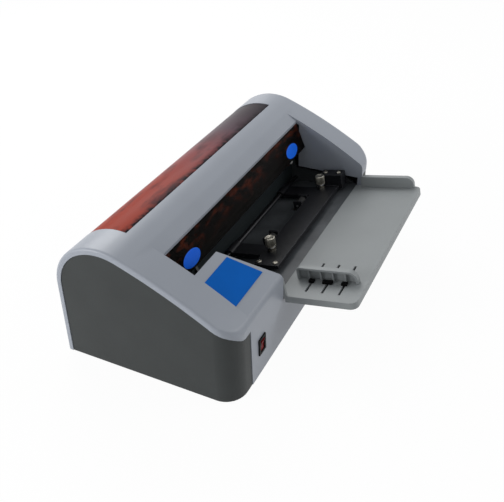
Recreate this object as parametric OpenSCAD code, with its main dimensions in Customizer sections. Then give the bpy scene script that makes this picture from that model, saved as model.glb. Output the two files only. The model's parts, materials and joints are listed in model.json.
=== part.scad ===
// Desk cutter for business cards: a sheet is laid on the sloping feed tray, drawn in by
// two rubber wheels, and slit into strips by pairs of disc blades.
// X runs along the width, Y from the front face to the rear, Z up from the table.

/* [Body] */
// Width of the body
body_w = 408; // [380:1:460]
// Depth of the body at the table
body_d = 210; // [204:1:236]
// Height of the crown above the table
body_h = 153; // [150:1:175]
// Wall of the moulded cover
cover_wall = 3; // [2.4:0.1:3.6]
// Radius of the crown seen from the side
crown_r = 62; // [56:1:66]
// Steepness of the front slope where it leaves the crown
slope_top_deg = 20; // [17:1:22]
// Steepness of the front slope where it meets the nose
slope_nose_deg = 33; // [30:1:36]
// Radius of the nose between slope and front face
nose_r = 10; // [8:0.5:14]
// Radius of the front corners seen from above
front_corner_r = 24; // [18:1:30]
// Radius of the rear corners seen from above
rear_corner_r = 5; // [4:1:8]
// Radius of the edge round both ends of the body
end_round = 3; // [1:0.5:5]

/* [End panels] */
// Rim of the cover left round each end panel
rim_w = 7; // [5:0.5:10]
// Depth that an end panel lies below the rim
panel_sink = 0.6; // [0.3:0.1:1.5]
// Thickness of an end panel
panel_t = 3; // [2:0.1:4]
// Length that an end panel reaches round the front corner
panel_wrap = 35; // [30:1:45]
// Radius of the panel's upper front corner
panel_nose_r = 20; // [16:1:26]

/* [Front opening] */
// Width of the shoulder left beside the opening
shoulder_w = 38; // [34:1:44]
// Distance of the opening's upper edge from the front face
open_top_y = 95; // [90:1:98]
// Distance of the control block's upper edge from the front face
block_top_y = 62; // [56:1:68]
// Width of the control block at its upper edge
block_top_w = 47; // [40:1:56]
// Width of the control block at the front face
block_front_w = 75; // [66:1:80]
// Depth that the strip between the shoulders is sunk at the opening
strip_sink = 2.6; // [1:0.1:4]
// Wall of the skirts round the opening
skirt_t = 2.5; // [2:0.1:4]

/* [Window and guard] */
// Angle of the window's front edge, from the crown's top
window_front_deg = 7.4; // [4:0.2:10]
// Angle of the window's rear edge, from the crown's top
window_rear_deg = 52; // [44:1:58]
// Thickness of the window
window_t = 2.2; // [1.8:0.1:3]
// Thickness of the guard strip behind the opening
guard_t = 2.2; // [1.6:0.1:3]
// Height of the guard strip
guard_h = 34; // [28:1:38]
// Angle that the guard strip leans forward
guard_lean = 22; // [16:1:26]

/* [Feed tray and bed] */
// Height of the bed at the front face
bed_z = 60.5; // [58:0.5:63]
// Slope of the bed and tray
bed_tilt = 11; // [9:0.5:12]
// Length of the tray in front of the body
tray_len = 81; // [70:1:110]
// Width of the tray to the left of the sheet
tray_side_w = 39.5; // [36:0.5:50]
// Thickness of the tray
tray_t = 3.5; // [3:0.1:5]
// Depth of the rim turned down round the tray
tray_rim_h = 8; // [5:0.5:12]
// Radius of the tray's front corners
tray_corner_r = 8.4; // [4:0.2:14]
// Width of the bed's sheet steel
bed_sheet = 1.5; // [1:0.1:2.5]
// Width of the sheet that is cut
sheet_w = 210; // [200:1:212]
// Play of the sheet between the two guides
sheet_play = 1; // [0.5:0.1:3]

/* [Guides] */
// Height of the side guides above the tray
guide_h = 14.6; // [10:0.2:20]
// Thickness of a guide's wall
guide_t = 3.5; // [2:0.1:4]
// Depth of the guide's ribs and lip
guide_rib = 3; // [2:0.1:4]
// Length of the guides
guide_len = 70; // [56:1:72]
// Travel of the left guide away from the sheet
guide_out = 17; // [5:1:20]
// Travel of the left guide across the tray
guide_in = 35; // [20:1:60]
// Width of the slots in the tray
slot_w = 2.6; // [2:0.1:4]

/* [Press frame] */
// Thickness of the press frame's flat bars
press_t = 4.5; // [3:0.5:6]
// Depth of the crossbar
crossbar_d = 31; // [24:1:34]
// Width of each arm
arm_w = 22; // [14:1:26]
// Distance between the middles of the two arms
arm_pitch = 148; // [130:1:150]
// Diameter of the thumb screws' heads
knob_d = 12.5; // [10:0.5:16]
// Diameter of the thumb screws' stems
stem_d = 5; // [4:0.5:6]

/* [Cutter] */
// Width of a finished strip
strip_w = 90; // [80:1:95]
// Radius of the disc blades
blade_r = 16.5; // [15.5:0.5:17]
// Thickness of a disc blade
blade_t = 1.6; // [1:0.1:2.4]
// Overlap of the upper and lower blades
blade_lap = 1; // [0.4:0.1:1.5]
// Diameter of the cutter shafts between the bearings
shaft_d = 16; // [12:1:18]
// Diameter of the shafts' journals
journal_d = 10; // [8:1:12]
// Radius of the rubber feed wheels
wheel_r = 14; // [12:0.5:15]
// Radius of the pinch rollers
pinch_r = 5; // [4:0.5:6]

/* [Frame] */
// Thickness of the side frames
frame_t = 4; // [3:0.5:5]
// Thickness of the base pan's floor
pan_t = 2.5; // [2:0.1:4]
// Height of the rubber feet
foot_h = 4; // [3:0.5:6]
// Gap between the cover's lower edge and the table
floor_gap = 1.5; // [1:0.1:3]

/* [Gears] */
// Teeth on the cutter and feed gears
gear_teeth = 22; // [20:1:24]
// Teeth on the motor's pinion
pinion_teeth = 18; // [17:1:20]
// Width of the gears
gear_w = 7; // [5:0.5:7]

/* [Hidden] */
$fn = 64;
// General clearances: between parts that stand side by side, and in running fits
side_gap = 0.4;
run_gap = 0.05;
fit_gap = 0.02;
slide_gap = 0.1;
// How far a cut runs past what it cuts, and a deep one, and how far pieces of one solid merge
eps = 1;
over = 20;
merge = 0.5;

// ---- outline of the body seen from the side, as [y, z] points ----
crown_z = body_h - crown_r;
rear_lean = 5.5;
crown_y = body_d - rear_lean - crown_r;
slope_r = (crown_y - crown_r * sin(slope_top_deg) - nose_r * (1 - sin(slope_nose_deg)))
    / (sin(slope_nose_deg) - sin(slope_top_deg));
slope_y = crown_y + (slope_r - crown_r) * sin(slope_top_deg);
slope_z = crown_z - (slope_r - crown_r) * cos(slope_top_deg);
rear_dist = norm([body_d - crown_y, floor_gap - crown_z]);
rear_deg = atan2(floor_gap - crown_z, body_d - crown_y) + acos(crown_r / rear_dist);

// Points along an arc, from one angle to another
function arc(c, r, from, to, n) =
    [for (i = [0:n]) c + r * [cos(from + (to - from) * i / n), sin(from + (to - from) * i / n)]];

// Height of the slope at a distance y from the front face, t below the surface
function slope_at(y, t = 0) = slope_z + sqrt(pow(slope_r - t, 2) - pow(y - slope_y, 2));

// The outline moved in by t, with its front at y = front, its nose of radius nose,
// and its lower edge at low
function outline(t, front, nose, low) =
    let (
        nose_y = front + nose,
        nose_z = slope_z + sqrt(pow(slope_r - t - nose, 2) - pow(nose_y - slope_y, 2)),
        nose_deg = atan2(nose_z - slope_z, nose_y - slope_y),
        r = crown_r - t,
        rear = [crown_y, crown_z] + r * [cos(rear_deg), sin(rear_deg)]
    )
    concat(
        [[front, low]],
        arc([nose_y, nose_z], nose, 180, nose_deg, 6),
        arc([slope_y, slope_z], slope_r - t, nose_deg, 90 + slope_top_deg, 12),
        arc([crown_y, crown_z], r, 90 + slope_top_deg, rear_deg, 24),
        [[rear[0] + (rear[1] - low) * tan(rear_deg), low]]
    );

// ---- outline of the body seen from above, moved in by t ----
function plan(t) =
    let (x = body_w / 2 - t, y0 = t, y1 = body_d - t,
        rf = front_corner_r - t, rr = max(rear_corner_r - t, 1))
    concat(
        arc([x - rf, y0 + rf], rf, -90, 0, 10),
        arc([x - rr, y1 - rr], rr, 0, 90, 4),
        arc([-x + rr, y1 - rr], rr, 90, 180, 4),
        arc([-x + rf, y0 + rf], rf, 180, 270, 10)
    );

module along_x(w) rotate([90, 0, 90]) linear_extrude(height = w, center = true) children();

// A bar along X between two places, with the given [y, z] section
module bar_x(x0, x1) translate([(x0 + x1) / 2, 0, 0]) along_x(x1 - x0) children();

// A round bar along X
module rod_x(x0, x1, r) translate([x0, 0, 0]) rotate([0, 90, 0]) cylinder(r = r, h = x1 - x0);

// The body moved in by t, standing at height low. It is a skin through one side outline at each
// station along X. Towards an end the front falls back round the corner, and the whole outline
// draws in round the end's edge.
corner_steps = 6;
corner_sweep = 56;
edge_steps = 3;
function half_stations(w, r, e) = concat(
    [for (i = [0:corner_steps - 1]) w - r + r * sin(corner_sweep * i / corner_steps)],
    [for (i = [0:edge_steps]) w - e + e * sin(90 * i / edge_steps)]);

function arc_drop(r, x) = x > 0 ? r - sqrt(max(r * r - x * x, 0)) : 0;

module body_form(t, low) {
    w = body_w / 2 - t;
    r = front_corner_r - t;
    e = max(end_round - t, 0.5);
    half = half_stations(w, r, e);
    stations = concat([for (i = [len(half) - 1:-1:0]) -half[i]], half);
    rings = [for (x = stations)
        let (inset = arc_drop(e, abs(x) - w + e), front = t + arc_drop(r, abs(x) - w + r))
            outline(t + inset, front, nose_r - t - inset, low)];
    n = len(rings[0]);
    last = (len(rings) - 1) * n;
    polyhedron(
        points = [for (i = [0:len(rings) - 1]) for (p = rings[i]) [stations[i], p[0], p[1]]],
        faces = concat(
            [[for (k = [n - 1:-1:0]) k], [for (k = [0:n - 1]) last + k]],
            [for (i = [0:len(rings) - 2], k = [0:n - 1])
                let (a = i * n + k, b = i * n + (k + 1) % n) each [[a, b, b + n], [a, b + n, a + n]]]));
}

// ---- the whole stands with its origin under the middle of its bounding box ----
tray_reach = tray_len * cos(bed_tilt) + tray_rim_h * sin(bed_tilt);
mid_y = (body_d - tray_reach) / 2;
module place() translate([0, -mid_y, 0]) children();

// The bed's own frame: its origin on the front face, Y down the slope, Z square to it
module on_bed() translate([0, 0, bed_z]) rotate([-bed_tilt, 0, 0]) children();
function bed_point(y, z) =
    [y * cos(bed_tilt) + z * sin(bed_tilt), bed_z - y * sin(bed_tilt) + z * cos(bed_tilt)];

// ---- places across the machine ----
open_x = body_w / 2 - shoulder_w;
block_x = -open_x + block_front_w;
stop_in = 6;
right_stop_x = open_x - stop_in;
left_stop_x = right_stop_x - sheet_w - sheet_play;
feed_shift = 3;
feed_x = (right_stop_x + left_stop_x) / 2 + feed_shift;
frame_out = [5, 6];
frame_left_x = block_x - frame_out[0];
frame_right_x = open_x + frame_out[1];
gear_gap = 4.5;
gear_x = frame_left_x - frame_t - gear_gap - gear_w;

// ---- the front opening seen from above, grown by g ----
function opening(g) = [
    [-open_x - g, open_top_y + g], [open_x + g, open_top_y + g], [open_x + g, -eps],
    [block_x - g, -eps], [block_x - g, 0],
    [-open_x + block_top_w - g, block_top_y - g], [-open_x - g, block_top_y - g]
];

// Strip between the shoulders, sunk from run_y to the nose: what lies above it
sunk_y = 108;
strip_nose_y = 4;
module above_strip(drop, w) {
    along_x(w) polygon([
        [strip_nose_y - eps, slope_at(strip_nose_y - eps) - drop],
        [strip_nose_y, slope_at(strip_nose_y) - drop],
        [open_top_y, slope_at(open_top_y) - strip_sink - drop],
        [sunk_y, slope_at(sunk_y) - drop],
        [sunk_y, body_h + over], [strip_nose_y - eps, body_h + over]
    ]);
}
strip_deg = atan2(slope_at(open_top_y) - strip_sink - slope_at(strip_nose_y),
    open_top_y - strip_nose_y);

// ---- window: sector of the crown's wall, between two radii, grown at its edges by g ----
window_w = 2 * open_x;
module window_sector(r0, r1, g) {
    a = g / crown_r * 180 / PI;
    bar_x(-window_w / 2 - g, window_w / 2 + g)
        translate([crown_y, crown_z])
            polygon(concat(
                arc([0, 0], r1, 90 + window_front_deg + a, 90 - window_rear_deg - a, 24),
                arc([0, 0], r0, 90 - window_rear_deg - a, 90 + window_front_deg + a, 24)));
}
window_sink = 0.3;
window_pocket = window_t + window_sink;
window_seat_t = 1.6;
window_seat_w = [4, 2];

// ---- end panels: the space of the left one, grown by g ----
module panel_zone(g) {
    intersection() {
        along_x(body_w + 2)
            polygon(outline(rim_w - g, -eps, panel_nose_r + g, -eps));
        linear_extrude(height = body_h) polygon(plan(g == 0 ? panel_sink : -eps));
        translate([-body_w / 2 - eps, -2 * eps, -eps])
            cube([panel_wrap + eps + g, body_d + 2 * eps, body_h]);
    }
}

module end_panel() {
    difference() {
        intersection() {
            panel_zone(0);
            translate([-body_w, -body_d, floor_gap]) cube([2 * body_w, 3 * body_d, body_h]);
        }
        translate([0, 0, -eps]) linear_extrude(height = 2 * body_h)
            polygon(plan(panel_sink + panel_t));
    }
}

// Ledge inside the cover that backs an end panel all round
ledge_w = 5;
ledge_t = 2;
module panel_ledge() {
    x = body_w / 2 - panel_sink - panel_t - side_gap - ledge_t / 2;
    intersection() {
        translate([-x, 0, 0]) along_x(ledge_t) difference() {
            polygon(outline(cover_wall - eps, cover_wall, nose_r - cover_wall, floor_gap));
            polygon(outline(rim_w + ledge_w, rim_w + ledge_w, nose_r, floor_gap - eps));
        }
        linear_extrude(height = body_h) polygon(plan(panel_sink + panel_t + side_gap));
    }
}

// Strip behind the seam where an end panel meets the cover's front wall
seam_in = 6;
seam_w = 8.6;
seam_h = 62;
seam_web = 2.2;
seam_t = 2;
module seam_strip() {
    deep = panel_sink + panel_t + side_gap - cover_wall + merge;
    translate([-body_w / 2 + panel_wrap - seam_in, cover_wall - merge, floor_gap + seam_in])
        difference() {
            cube([seam_w, deep + seam_t, seam_h]);
            translate([-eps, -eps, -eps])
                cube([seam_w - seam_web + eps, deep + eps, seam_h + 2 * eps]);
        }
}

// ---- rocker switch in the front face ----
switch_x = -body_w / 2 + 58;
switch_z = 39;
switch_w = 15;
switch_h = 21;
switch_rim = 2;
switch_play = 0.5;
switch_body = [switch_w - 2 * switch_rim, switch_h - 2 * switch_rim];

// ---- paper exit and power inlet in the rear wall ----
exit_z = 41;
exit_h = 14;
exit_side = 12;
exit_below = 6;
exit_in = 14;
inlet_w = 27;
inlet_h = 20;
inlet_x = -body_w / 2 + 54;
inlet_z = 58;
function rear_at(z) = body_d - (z - floor_gap) * tan(rear_deg);

// A place on the leaning rear wall, with Y square to it
module in_rear_wall(x, z)
    translate([x, rear_at(z), z]) rotate([rear_deg, 0, 0]) children();

module top_cover() {
    color([0.58, 0.62, 0.66]) {
        difference() {
            body_form(0, floor_gap);
            above_strip(0, 2 * open_x);
            difference() {
                body_form(cover_wall, -eps);
                above_strip(cover_wall / cos(strip_deg), 2 * (open_x + cover_wall));
                window_sector(crown_r - window_pocket - window_seat_t, crown_r, window_seat_w[1]);
            }
            // The opening, down to the tray
            intersection() {
                translate([0, 0, bed_z - over]) linear_extrude(height = body_h)
                    polygon(opening(0));
                on_bed() translate([-body_w, -over, -tray_t - side_gap])
                    cube([2 * body_w, 2 * body_d, 2 * body_h]);
            }
            window_sector(crown_r - window_pocket, crown_r + 2 * eps, side_gap);
            window_sector(crown_r - 3 * cover_wall, crown_r, -window_seat_w[0]);
            panel_zone(side_gap);
            mirror([1, 0, 0]) panel_zone(side_gap);
            // Switch hole, paper exit and inlet hole
            translate([switch_x, 0, switch_z])
                cube([switch_body[0] + 2 * switch_play, 3 * cover_wall,
                    switch_body[1] + 2 * switch_play], center = true);
            translate([left_stop_x - exit_side, body_d - exit_in, exit_z - exit_below])
                cube([sheet_w + 2 * exit_side, over, exit_h]);
            in_rear_wall(inlet_x, inlet_z) cube([inlet_w, over, inlet_h], center = true);
        }
        opening_skirts();
        for (m = [0, 1]) mirror([m, 0, 0]) {
            panel_ledge();
            seam_strip();
        }
    }
}

// Skirts that hang from the edge of the opening, inside the cover, in front of the guard
skirt_low_z = 70;
skirt_clear = 4;
module opening_skirts() {
    intersection() {
        difference() {
            translate([0, 0, skirt_low_z]) linear_extrude(height = body_h)
                difference() {
                    polygon(opening(skirt_t));
                    polygon(opening(0));
                    translate([-body_w / 2, open_top_y - skirt_clear]) square([body_w, over]);
                }
            above_strip(0, 2 * open_x);
        }
        body_form(cover_wall / 2, floor_gap);
    }
}

module left_end_panel() color([0.27, 0.28, 0.29]) end_panel();
module right_end_panel() color([0.27, 0.28, 0.29]) mirror([1, 0, 0]) end_panel();

module top_window() {
    color([0.55, 0.16, 0.10, 0.6])
        window_sector(crown_r - window_pocket + run_gap, crown_r - window_sink, 0);
}

// The guard hangs from a flange under the cover's slope and leans forward
guard_top_y = open_top_y + 1;
guard_drop = 1.2;
guard_top_z = slope_at(guard_top_y, cover_wall) - strip_sink - guard_drop;
guard_half = open_x - 2;
guard_flange = 8;
guard_flange_deg = 26;
module in_guard_plane()
    translate([0, guard_top_y, guard_top_z]) rotate([-guard_lean, 0, 0]) children();

module guard_strip() {
    color([0.22, 0.10, 0.07, 0.7]) difference() {
        union() {
            in_guard_plane() translate([-guard_half, -guard_t, -guard_h])
                cube([2 * guard_half, guard_t, guard_h]);
            translate([0, guard_top_y, guard_top_z]) rotate([guard_flange_deg, 0, 0])
                translate([-guard_half, -guard_t, -guard_t])
                    cube([2 * guard_half, guard_flange, guard_t]);
        }
        above_strip(cover_wall / cos(strip_deg) + slide_gap, body_w);
    }
}

// Two plain oval stickers near the ends of the guard
oval_w = 32;
oval_h = 17;
oval_t = 0.4;
oval_in = 37;
oval_up = 2;
oval_sides = 32;
module guard_ovals() {
    color([0.06, 0.22, 0.65])
        for (s = [-1, 1])
            in_guard_plane()
                translate([s * (open_x - oval_in), -guard_t, -guard_h + oval_h / 2 + oval_up])
                    rotate([90, 0, 0]) linear_extrude(height = oval_t)
                        polygon([for (i = [0:oval_sides - 1]) let (a = 360 * i / oval_sides)
                            [oval_w / 2 * cos(a), oval_h / 2 * sin(a)]]);
}

// Plain coloured plate on the control block
plate_t = 0.6;
plate_x0 = 1 - open_x;
plate_y0 = 17;
plate_y1 = block_top_y - 11;
plate_low_x = block_x - 14;
plate_high_x = -open_x + block_top_w + 2;
module control_plate() {
    color([0.06, 0.33, 0.65])
        intersection() {
            translate([0, 0, floor_gap]) linear_extrude(height = body_h)
                polygon([[plate_x0, plate_y1], [plate_high_x, plate_y1],
                    [plate_low_x, plate_y0], [plate_x0, plate_y0]]);
            difference() {
                above_strip(0, body_w);
                above_strip(-plate_t / cos(strip_deg), 2 * body_w);
            }
        }
}

bezel_t = 1.5;
bezel_wall = 1;
switch_depth = 16;
switch_well = 6.4;
module switch_bezel() {
    color([0.05, 0.05, 0.05])
        translate([switch_x, 0, switch_z]) difference() {
            union() {
                translate([0, -bezel_t / 2, 0]) cube([switch_w, bezel_t, switch_h], center = true);
                translate([0, switch_depth / 2, 0])
                    cube([switch_body[0], switch_depth, switch_body[1]], center = true);
            }
            translate([bezel_wall - switch_body[0] / 2, -bezel_t - eps,
                bezel_wall - switch_body[1] / 2])
                cube([switch_body[0] - 2 * bezel_wall, bezel_t + eps + switch_well,
                    switch_body[1] - 2 * bezel_wall]);
            translate([0, rocker_y, 0])
                rod_x(-rocker_pin_w / 2 - side_gap, rocker_pin_w / 2 + side_gap,
                    rocker_pin_r + run_gap);
        }
}

// The rocker tips about an axle across its bezel
rocker_w = switch_body[0] - 2.8;
rocker_h = switch_body[1] - 3.4;
rocker_y = 2.5;
rocker_tip = 8;
rocker_proud = 1.6;
rocker_dip = 0.5;
rocker_depth = 4;
rocker_taper = 1;
rocker_pin_r = 1;
rocker_pin_w = switch_body[0] - 1;
module rocker_button() {
    color([0.75, 0.08, 0.05])
        translate([switch_x, rocker_y, switch_z]) rotate([rocker_tip, 0, 0])
            translate([0, -rocker_y, 0])
                along_x(rocker_w)
                    polygon([[-rocker_proud, -rocker_h / 2], [-rocker_dip, 0],
                        [-rocker_proud, rocker_h / 2],
                        [rocker_depth, rocker_h / 2 - rocker_taper],
                        [rocker_depth, rocker_taper - rocker_h / 2]]);
    color([0.75, 0.08, 0.05]) translate([switch_x, rocker_y, switch_z])
        rod_x(-rocker_pin_w / 2, rocker_pin_w / 2, rocker_pin_r);
}

// ---- base ----
pan_low = foot_h;
pan_top = foot_h + pan_t;
pan_in = panel_sink + panel_t + ledge_t + 2 * side_gap;
pan_wall = 2;
pan_wall_h = 12;
board_x0 = -body_w / 2 + 14;
board_y0 = 22;
board_w = 60;
board_d = 84;
board_z = pan_top + 8;
board_boss_r = 3;
board_boss_in = 5;
module base_pan() {
    color([0.42, 0.44, 0.46]) {
        translate([0, 0, pan_low]) linear_extrude(height = pan_t) polygon(plan(pan_in));
        translate([0, 0, pan_top]) linear_extrude(height = pan_wall_h) difference() {
            polygon(plan(pan_in));
            polygon(plan(pan_in + pan_wall));
        }
        for (x = [board_boss_in, board_w - board_boss_in], y = [board_boss_in, board_d - board_boss_in])
            translate([board_x0 + x, board_y0 + y, pan_top - merge])
                cylinder(r = board_boss_r, h = board_z - pan_top + merge);
    }
}

foot_r = 9;
foot_x = body_w / 2 - 34;
foot_y0 = 26;
foot_y1 = body_d - 24;
foot_edge = 1;
foot_draft = 0.5;
foot_dimple = [3, 2];
module rubber_feet() {
    color([0.08, 0.08, 0.08])
        for (x = [-foot_x, foot_x], y = [foot_y0, foot_y1])
            translate([x, y, 0]) difference() {
                rotate_extrude() polygon([[0, 0], [foot_r - foot_edge, 0], [foot_r, foot_edge],
                    [foot_r - foot_draft, foot_h], [0, foot_h]]);
                translate([0, 0, -eps]) cylinder(r = foot_dimple[0], h = foot_dimple[1] + eps);
            }
}

// ---- feed tray ----
tray_x0 = left_stop_x - tray_side_w;
tray_x1 = open_x - 0.5;
tongue_x0 = max(tray_x0, block_x + 0.5);
tray_in = 7;
tray_gap = 0.6;
slot_y = [-20.5, -39, -58];
tray_rim_t = 2.4;
tray_rib_t = 2.5;
tray_rib_h = 11;
tray_rib_len = 60;
post_w = 3;
post_h = 22;
clamp_w = 5;
clamp_x = left_stop_x - guide_t - guide_rib - clamp_w / 2 - slide_gap;
clamp_d = [6, 11, 6];
clamp_h = 2.6;
clamp_play = 0.2;
nut_r = 4.5;
nut_h = 2.3;
tray_rib_x = [clamp_x + guide_in + nut_r + 4, feed_x + 12, tray_x1 - 30];
// The tray seen from above, drawn in by t, as far as y = rear
module tray_plan(t, rear) {
    r = tray_corner_r;
    polygon(concat(
        [[tray_x0 + t, rear]],
        arc([tray_x0 + r, -tray_len + r], r - t, 180, 270, 8),
        arc([tray_x1 - r, -tray_len + r], r - t, 270, 360, 8),
        [[tray_x1 - t, rear]]));
}

module feed_tray() {
    color([0.60, 0.63, 0.62]) on_bed() difference() {
        union() {
            translate([0, 0, -tray_t]) linear_extrude(height = tray_t) tray_plan(0, -tray_gap);
            // Tongue that reaches into the opening
            translate([tongue_x0, -2 * tray_gap, -tray_t])
                cube([tray_x1 - tongue_x0, tray_in + 2 * tray_gap, tray_t]);
            // Rim turned down round the tray, and ribs under it
            translate([0, 0, -tray_rim_h]) linear_extrude(height = tray_rim_h - merge)
                difference() {
                    tray_plan(0, -tray_gap);
                    tray_plan(tray_rim_t, eps);
                }
            for (x = tray_rib_x)
                bar_x(x, x + tray_rib_t) translate([-tray_gap, -tray_t])
                    polygon([[0, eps], [0, -tray_rib_h], [-tray_rib_len, tray_t - tray_rim_h],
                        [-tray_rib_len, eps]]);
            // Post beside the control block
            translate([tray_x0, -post_w, -tray_t]) cube([post_w, post_w, tray_t + post_h]);
        }
        for (y = slot_y)
            translate([clamp_x - guide_out - slot_w / 2, y - slot_w / 2, -tray_t - eps])
                cube([guide_out + guide_in + slot_w, slot_w, tray_t + 2 * eps]);
    }
}

// Side of a guide, as [y, z] points on the tray, moved in by t: round corners, open below
guide_y1 = -2.4;
guide_y0 = guide_y1 - guide_len;
guide_nose_r = 9.8;
guide_end_r = 4;
guide_web = 2;
guide_lip = 2.8;
guide_ribs = 4;
guide_rib_w = 1.8;
guide_rib_in = 0.4;
function guide_side(t, low) = concat(
    [[guide_y0 + t, low]],
    arc([guide_y0 + guide_nose_r, guide_h - guide_nose_r], guide_nose_r - t, 180, 90, 8),
    arc([guide_y1 - guide_end_r, guide_h - guide_end_r], guide_end_r - t, 90, 0, 4),
    [[guide_y1 - t, low]]);

// A guide with its smooth face at x = 0, and its lip and ribs on the other side, towards -x
module guide() {
    bar_x(-guide_web, 0) polygon(guide_side(0, 0));
    bar_x(-guide_t - guide_rib, -guide_web) difference() {
        polygon(guide_side(0, 0));
        polygon(guide_side(guide_lip, -eps));
    }
    for (i = [1:guide_ribs])
        bar_x(-guide_t - guide_rib + guide_rib_in, -guide_web)
            translate([guide_y0 + guide_len * i / (guide_ribs + 1), (guide_h - guide_lip / 2) / 2])
                square([guide_rib_w, guide_h - guide_lip / 2], center = true);
}

module left_guide() {
    color([0.60, 0.61, 0.60]) on_bed() translate([left_stop_x, 0, slide_gap]) guide();
}

module right_guide() {
    color([0.60, 0.61, 0.60]) on_bed() translate([right_stop_x, 0, 0]) mirror([1, 0, 0]) guide();
}

// Clamps that hold the left guide to the slots
module guide_clamps() {
    color([0.05, 0.05, 0.06]) on_bed()
        for (i = [0:2]) translate([clamp_x, slot_y[i], 0]) {
            translate([-clamp_w / 2, -clamp_d[i] / 2, clamp_play])
                cube([clamp_w, clamp_d[i], clamp_h]);
            translate([0, 0, -tray_t - clamp_play - nut_h + merge])
                cylinder(r = slot_w / 2 - clamp_play, h = tray_t + nut_h + eps);
            translate([0, 0, -tray_t - clamp_play - nut_h])
                cylinder(r = nut_r, h = nut_h, $fn = 6);
        }
}

// ---- shafts ----
wheel_rise = 0.8;
feed_at_y = 60.5;
feed_c = bed_point(feed_at_y, wheel_rise - wheel_r);
level_y = 100;
level_z = bed_z - level_y * tan(bed_tilt);
cutter_y = 130;
centre_dist = 2 * blade_r - blade_lap;
lower_c = [cutter_y, level_z - centre_dist / 2];
upper_c = [cutter_y, level_z + centre_dist / 2];
hinge_at = [98, 6.5];
hinge_c = bed_point(hinge_at[0], hinge_at[1]);
hinge_r = 2.5;
shaft_x0 = gear_x - 0.5;
shaft_x1 = frame_right_x + frame_t + 4;

module at_yz(c) translate([0, c[0], c[1]]) children();

// ---- bed and exit plates: bent sheet, each ending short of the blades ----
blade_gap = 2;
bed_y1 = cutter_y - blade_r - blade_gap;
module bed_plate() {
    b0 = bed_point(tray_in, 0);
    b1 = bed_point(tray_in, -bed_sheet);
    color([0.07, 0.07, 0.08]) difference() {
        bar_x(frame_left_x, frame_right_x)
            polygon([b0, [level_y, level_z], [bed_y1, level_z], [bed_y1, level_z - bed_sheet],
                [level_y, level_z - bed_sheet], b1]);
        on_bed() for (x = pinch_x)
            translate([x - wheel_w / 2 - wheel_gap, feed_at_y - wheel_cut / 2, -5])
                cube([wheel_w + 2 * wheel_gap, wheel_cut, 10]);
    }
}

exit_y0 = cutter_y + blade_r + blade_gap;
exit_y1 = body_d - 8;
exit_fall = 3;
exit_lead = [3, 4];
exit_top_z = level_z - 1;
module exit_plate() {
    y = exit_y0 - exit_lead[0];
    z = exit_top_z - exit_lead[1];
    color([0.45, 0.47, 0.49])
        bar_x(frame_left_x, frame_right_x)
            polygon([[exit_y0, exit_top_z], [exit_y1, exit_top_z - exit_fall],
                [exit_y1, exit_top_z - exit_fall - bed_sheet],
                [exit_y0 + 1, exit_top_z - bed_sheet], [y, z - 2], [y, z]]);
}

// ---- side frames ----
frame_y0 = 14;
frame_y1 = body_d - 13;
frame_foot_in = 4;
frame_foot_t = 2.5;
rod_places = [[frame_y0 + 10, 18], [frame_y1 - 13, 16], [cutter_y + 32, 64]];
rod_r = 4;
rod_thread_r = 2;
frame_head_r = 4;
frame_head_t = 2.5;
cable_hole = [36, 14];
cable_hole_at = [56, 11];
bush_r = 7;
bush_flange_r = 9;
bush_flange_t = 1.5;
// The plate's outline: a front part as high as the bed, and a head over the cutter shafts
head_rise = 29;
head_y = [cutter_y - 22, cutter_y + 20];
head_slant = [12, 21];
front_rise = 3.5;
front_cut = [16, 6];
module side_frame_plate() {
    head_z = upper_c[1] + head_rise;
    front_z = bed_z + front_rise;
    difference() {
        bar_x(0, frame_t) polygon([[frame_y0, pan_top], [frame_y1, pan_top],
            [frame_y1, upper_c[1] - 1], [frame_y1 - head_slant[1], upper_c[1] + head_slant[1]],
            [head_y[1], head_z], [head_y[0], head_z], [head_y[0] - head_slant[0], front_z],
            [frame_y0 + front_cut[0], front_z], [frame_y0, front_z - front_cut[1]]]);
        for (c = [feed_c, lower_c, upper_c])
            at_yz(c) rod_x(-eps, frame_t + eps, bush_r + fit_gap);
        at_yz(hinge_c) rod_x(-eps, frame_t + eps, hinge_r + fit_gap);
        for (c = rod_places) at_yz(c) rod_x(-eps, frame_t + eps, rod_thread_r);
        bar_x(-eps, frame_t + eps)
            translate(lower_c - cable_hole_at) square(cable_hole);
    }
}

foot_flange = 12;
module left_side_frame() {
    color([0.12, 0.12, 0.13]) {
        translate([frame_left_x - frame_t, 0, 0]) side_frame_plate();
        translate([frame_left_x - merge, frame_y0 + frame_foot_in, pan_top])
            cube([foot_flange + merge, frame_y1 - frame_y0 - 2 * frame_foot_in, frame_foot_t]);
    }
}

module right_side_frame() {
    color([0.12, 0.12, 0.13]) {
        translate([frame_right_x, 0, 0]) side_frame_plate();
        translate([frame_right_x - foot_flange, frame_y0 + frame_foot_in, pan_top])
            cube([foot_flange + merge, frame_y1 - frame_y0 - 2 * frame_foot_in, frame_foot_t]);
    }
}

module tie_rods() {
    color([0.7, 0.71, 0.72])
        for (c = rod_places) at_yz(c) {
            rod_x(frame_left_x, frame_right_x, rod_r);
            rod_x(frame_left_x - frame_t, frame_right_x + frame_t, rod_thread_r - fit_gap);
        }
}

module frame_screws() {
    color([0.6, 0.6, 0.62])
        for (c = rod_places) at_yz(c) {
            rod_x(frame_left_x - frame_t - frame_head_t, frame_left_x - frame_t, frame_head_r);
            rod_x(frame_right_x + frame_t, frame_right_x + frame_t + frame_head_t, frame_head_r);
        }
}

// Flanged bushes that carry the three shafts in the side frames
module bush_ring() {
    difference() {
        union() {
            rod_x(0, frame_t, bush_r);
            rod_x(-bush_flange_t, 0, bush_flange_r);
        }
        rod_x(-bush_flange_t - eps, frame_t + eps, journal_d / 2 + run_gap);
    }
}

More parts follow.
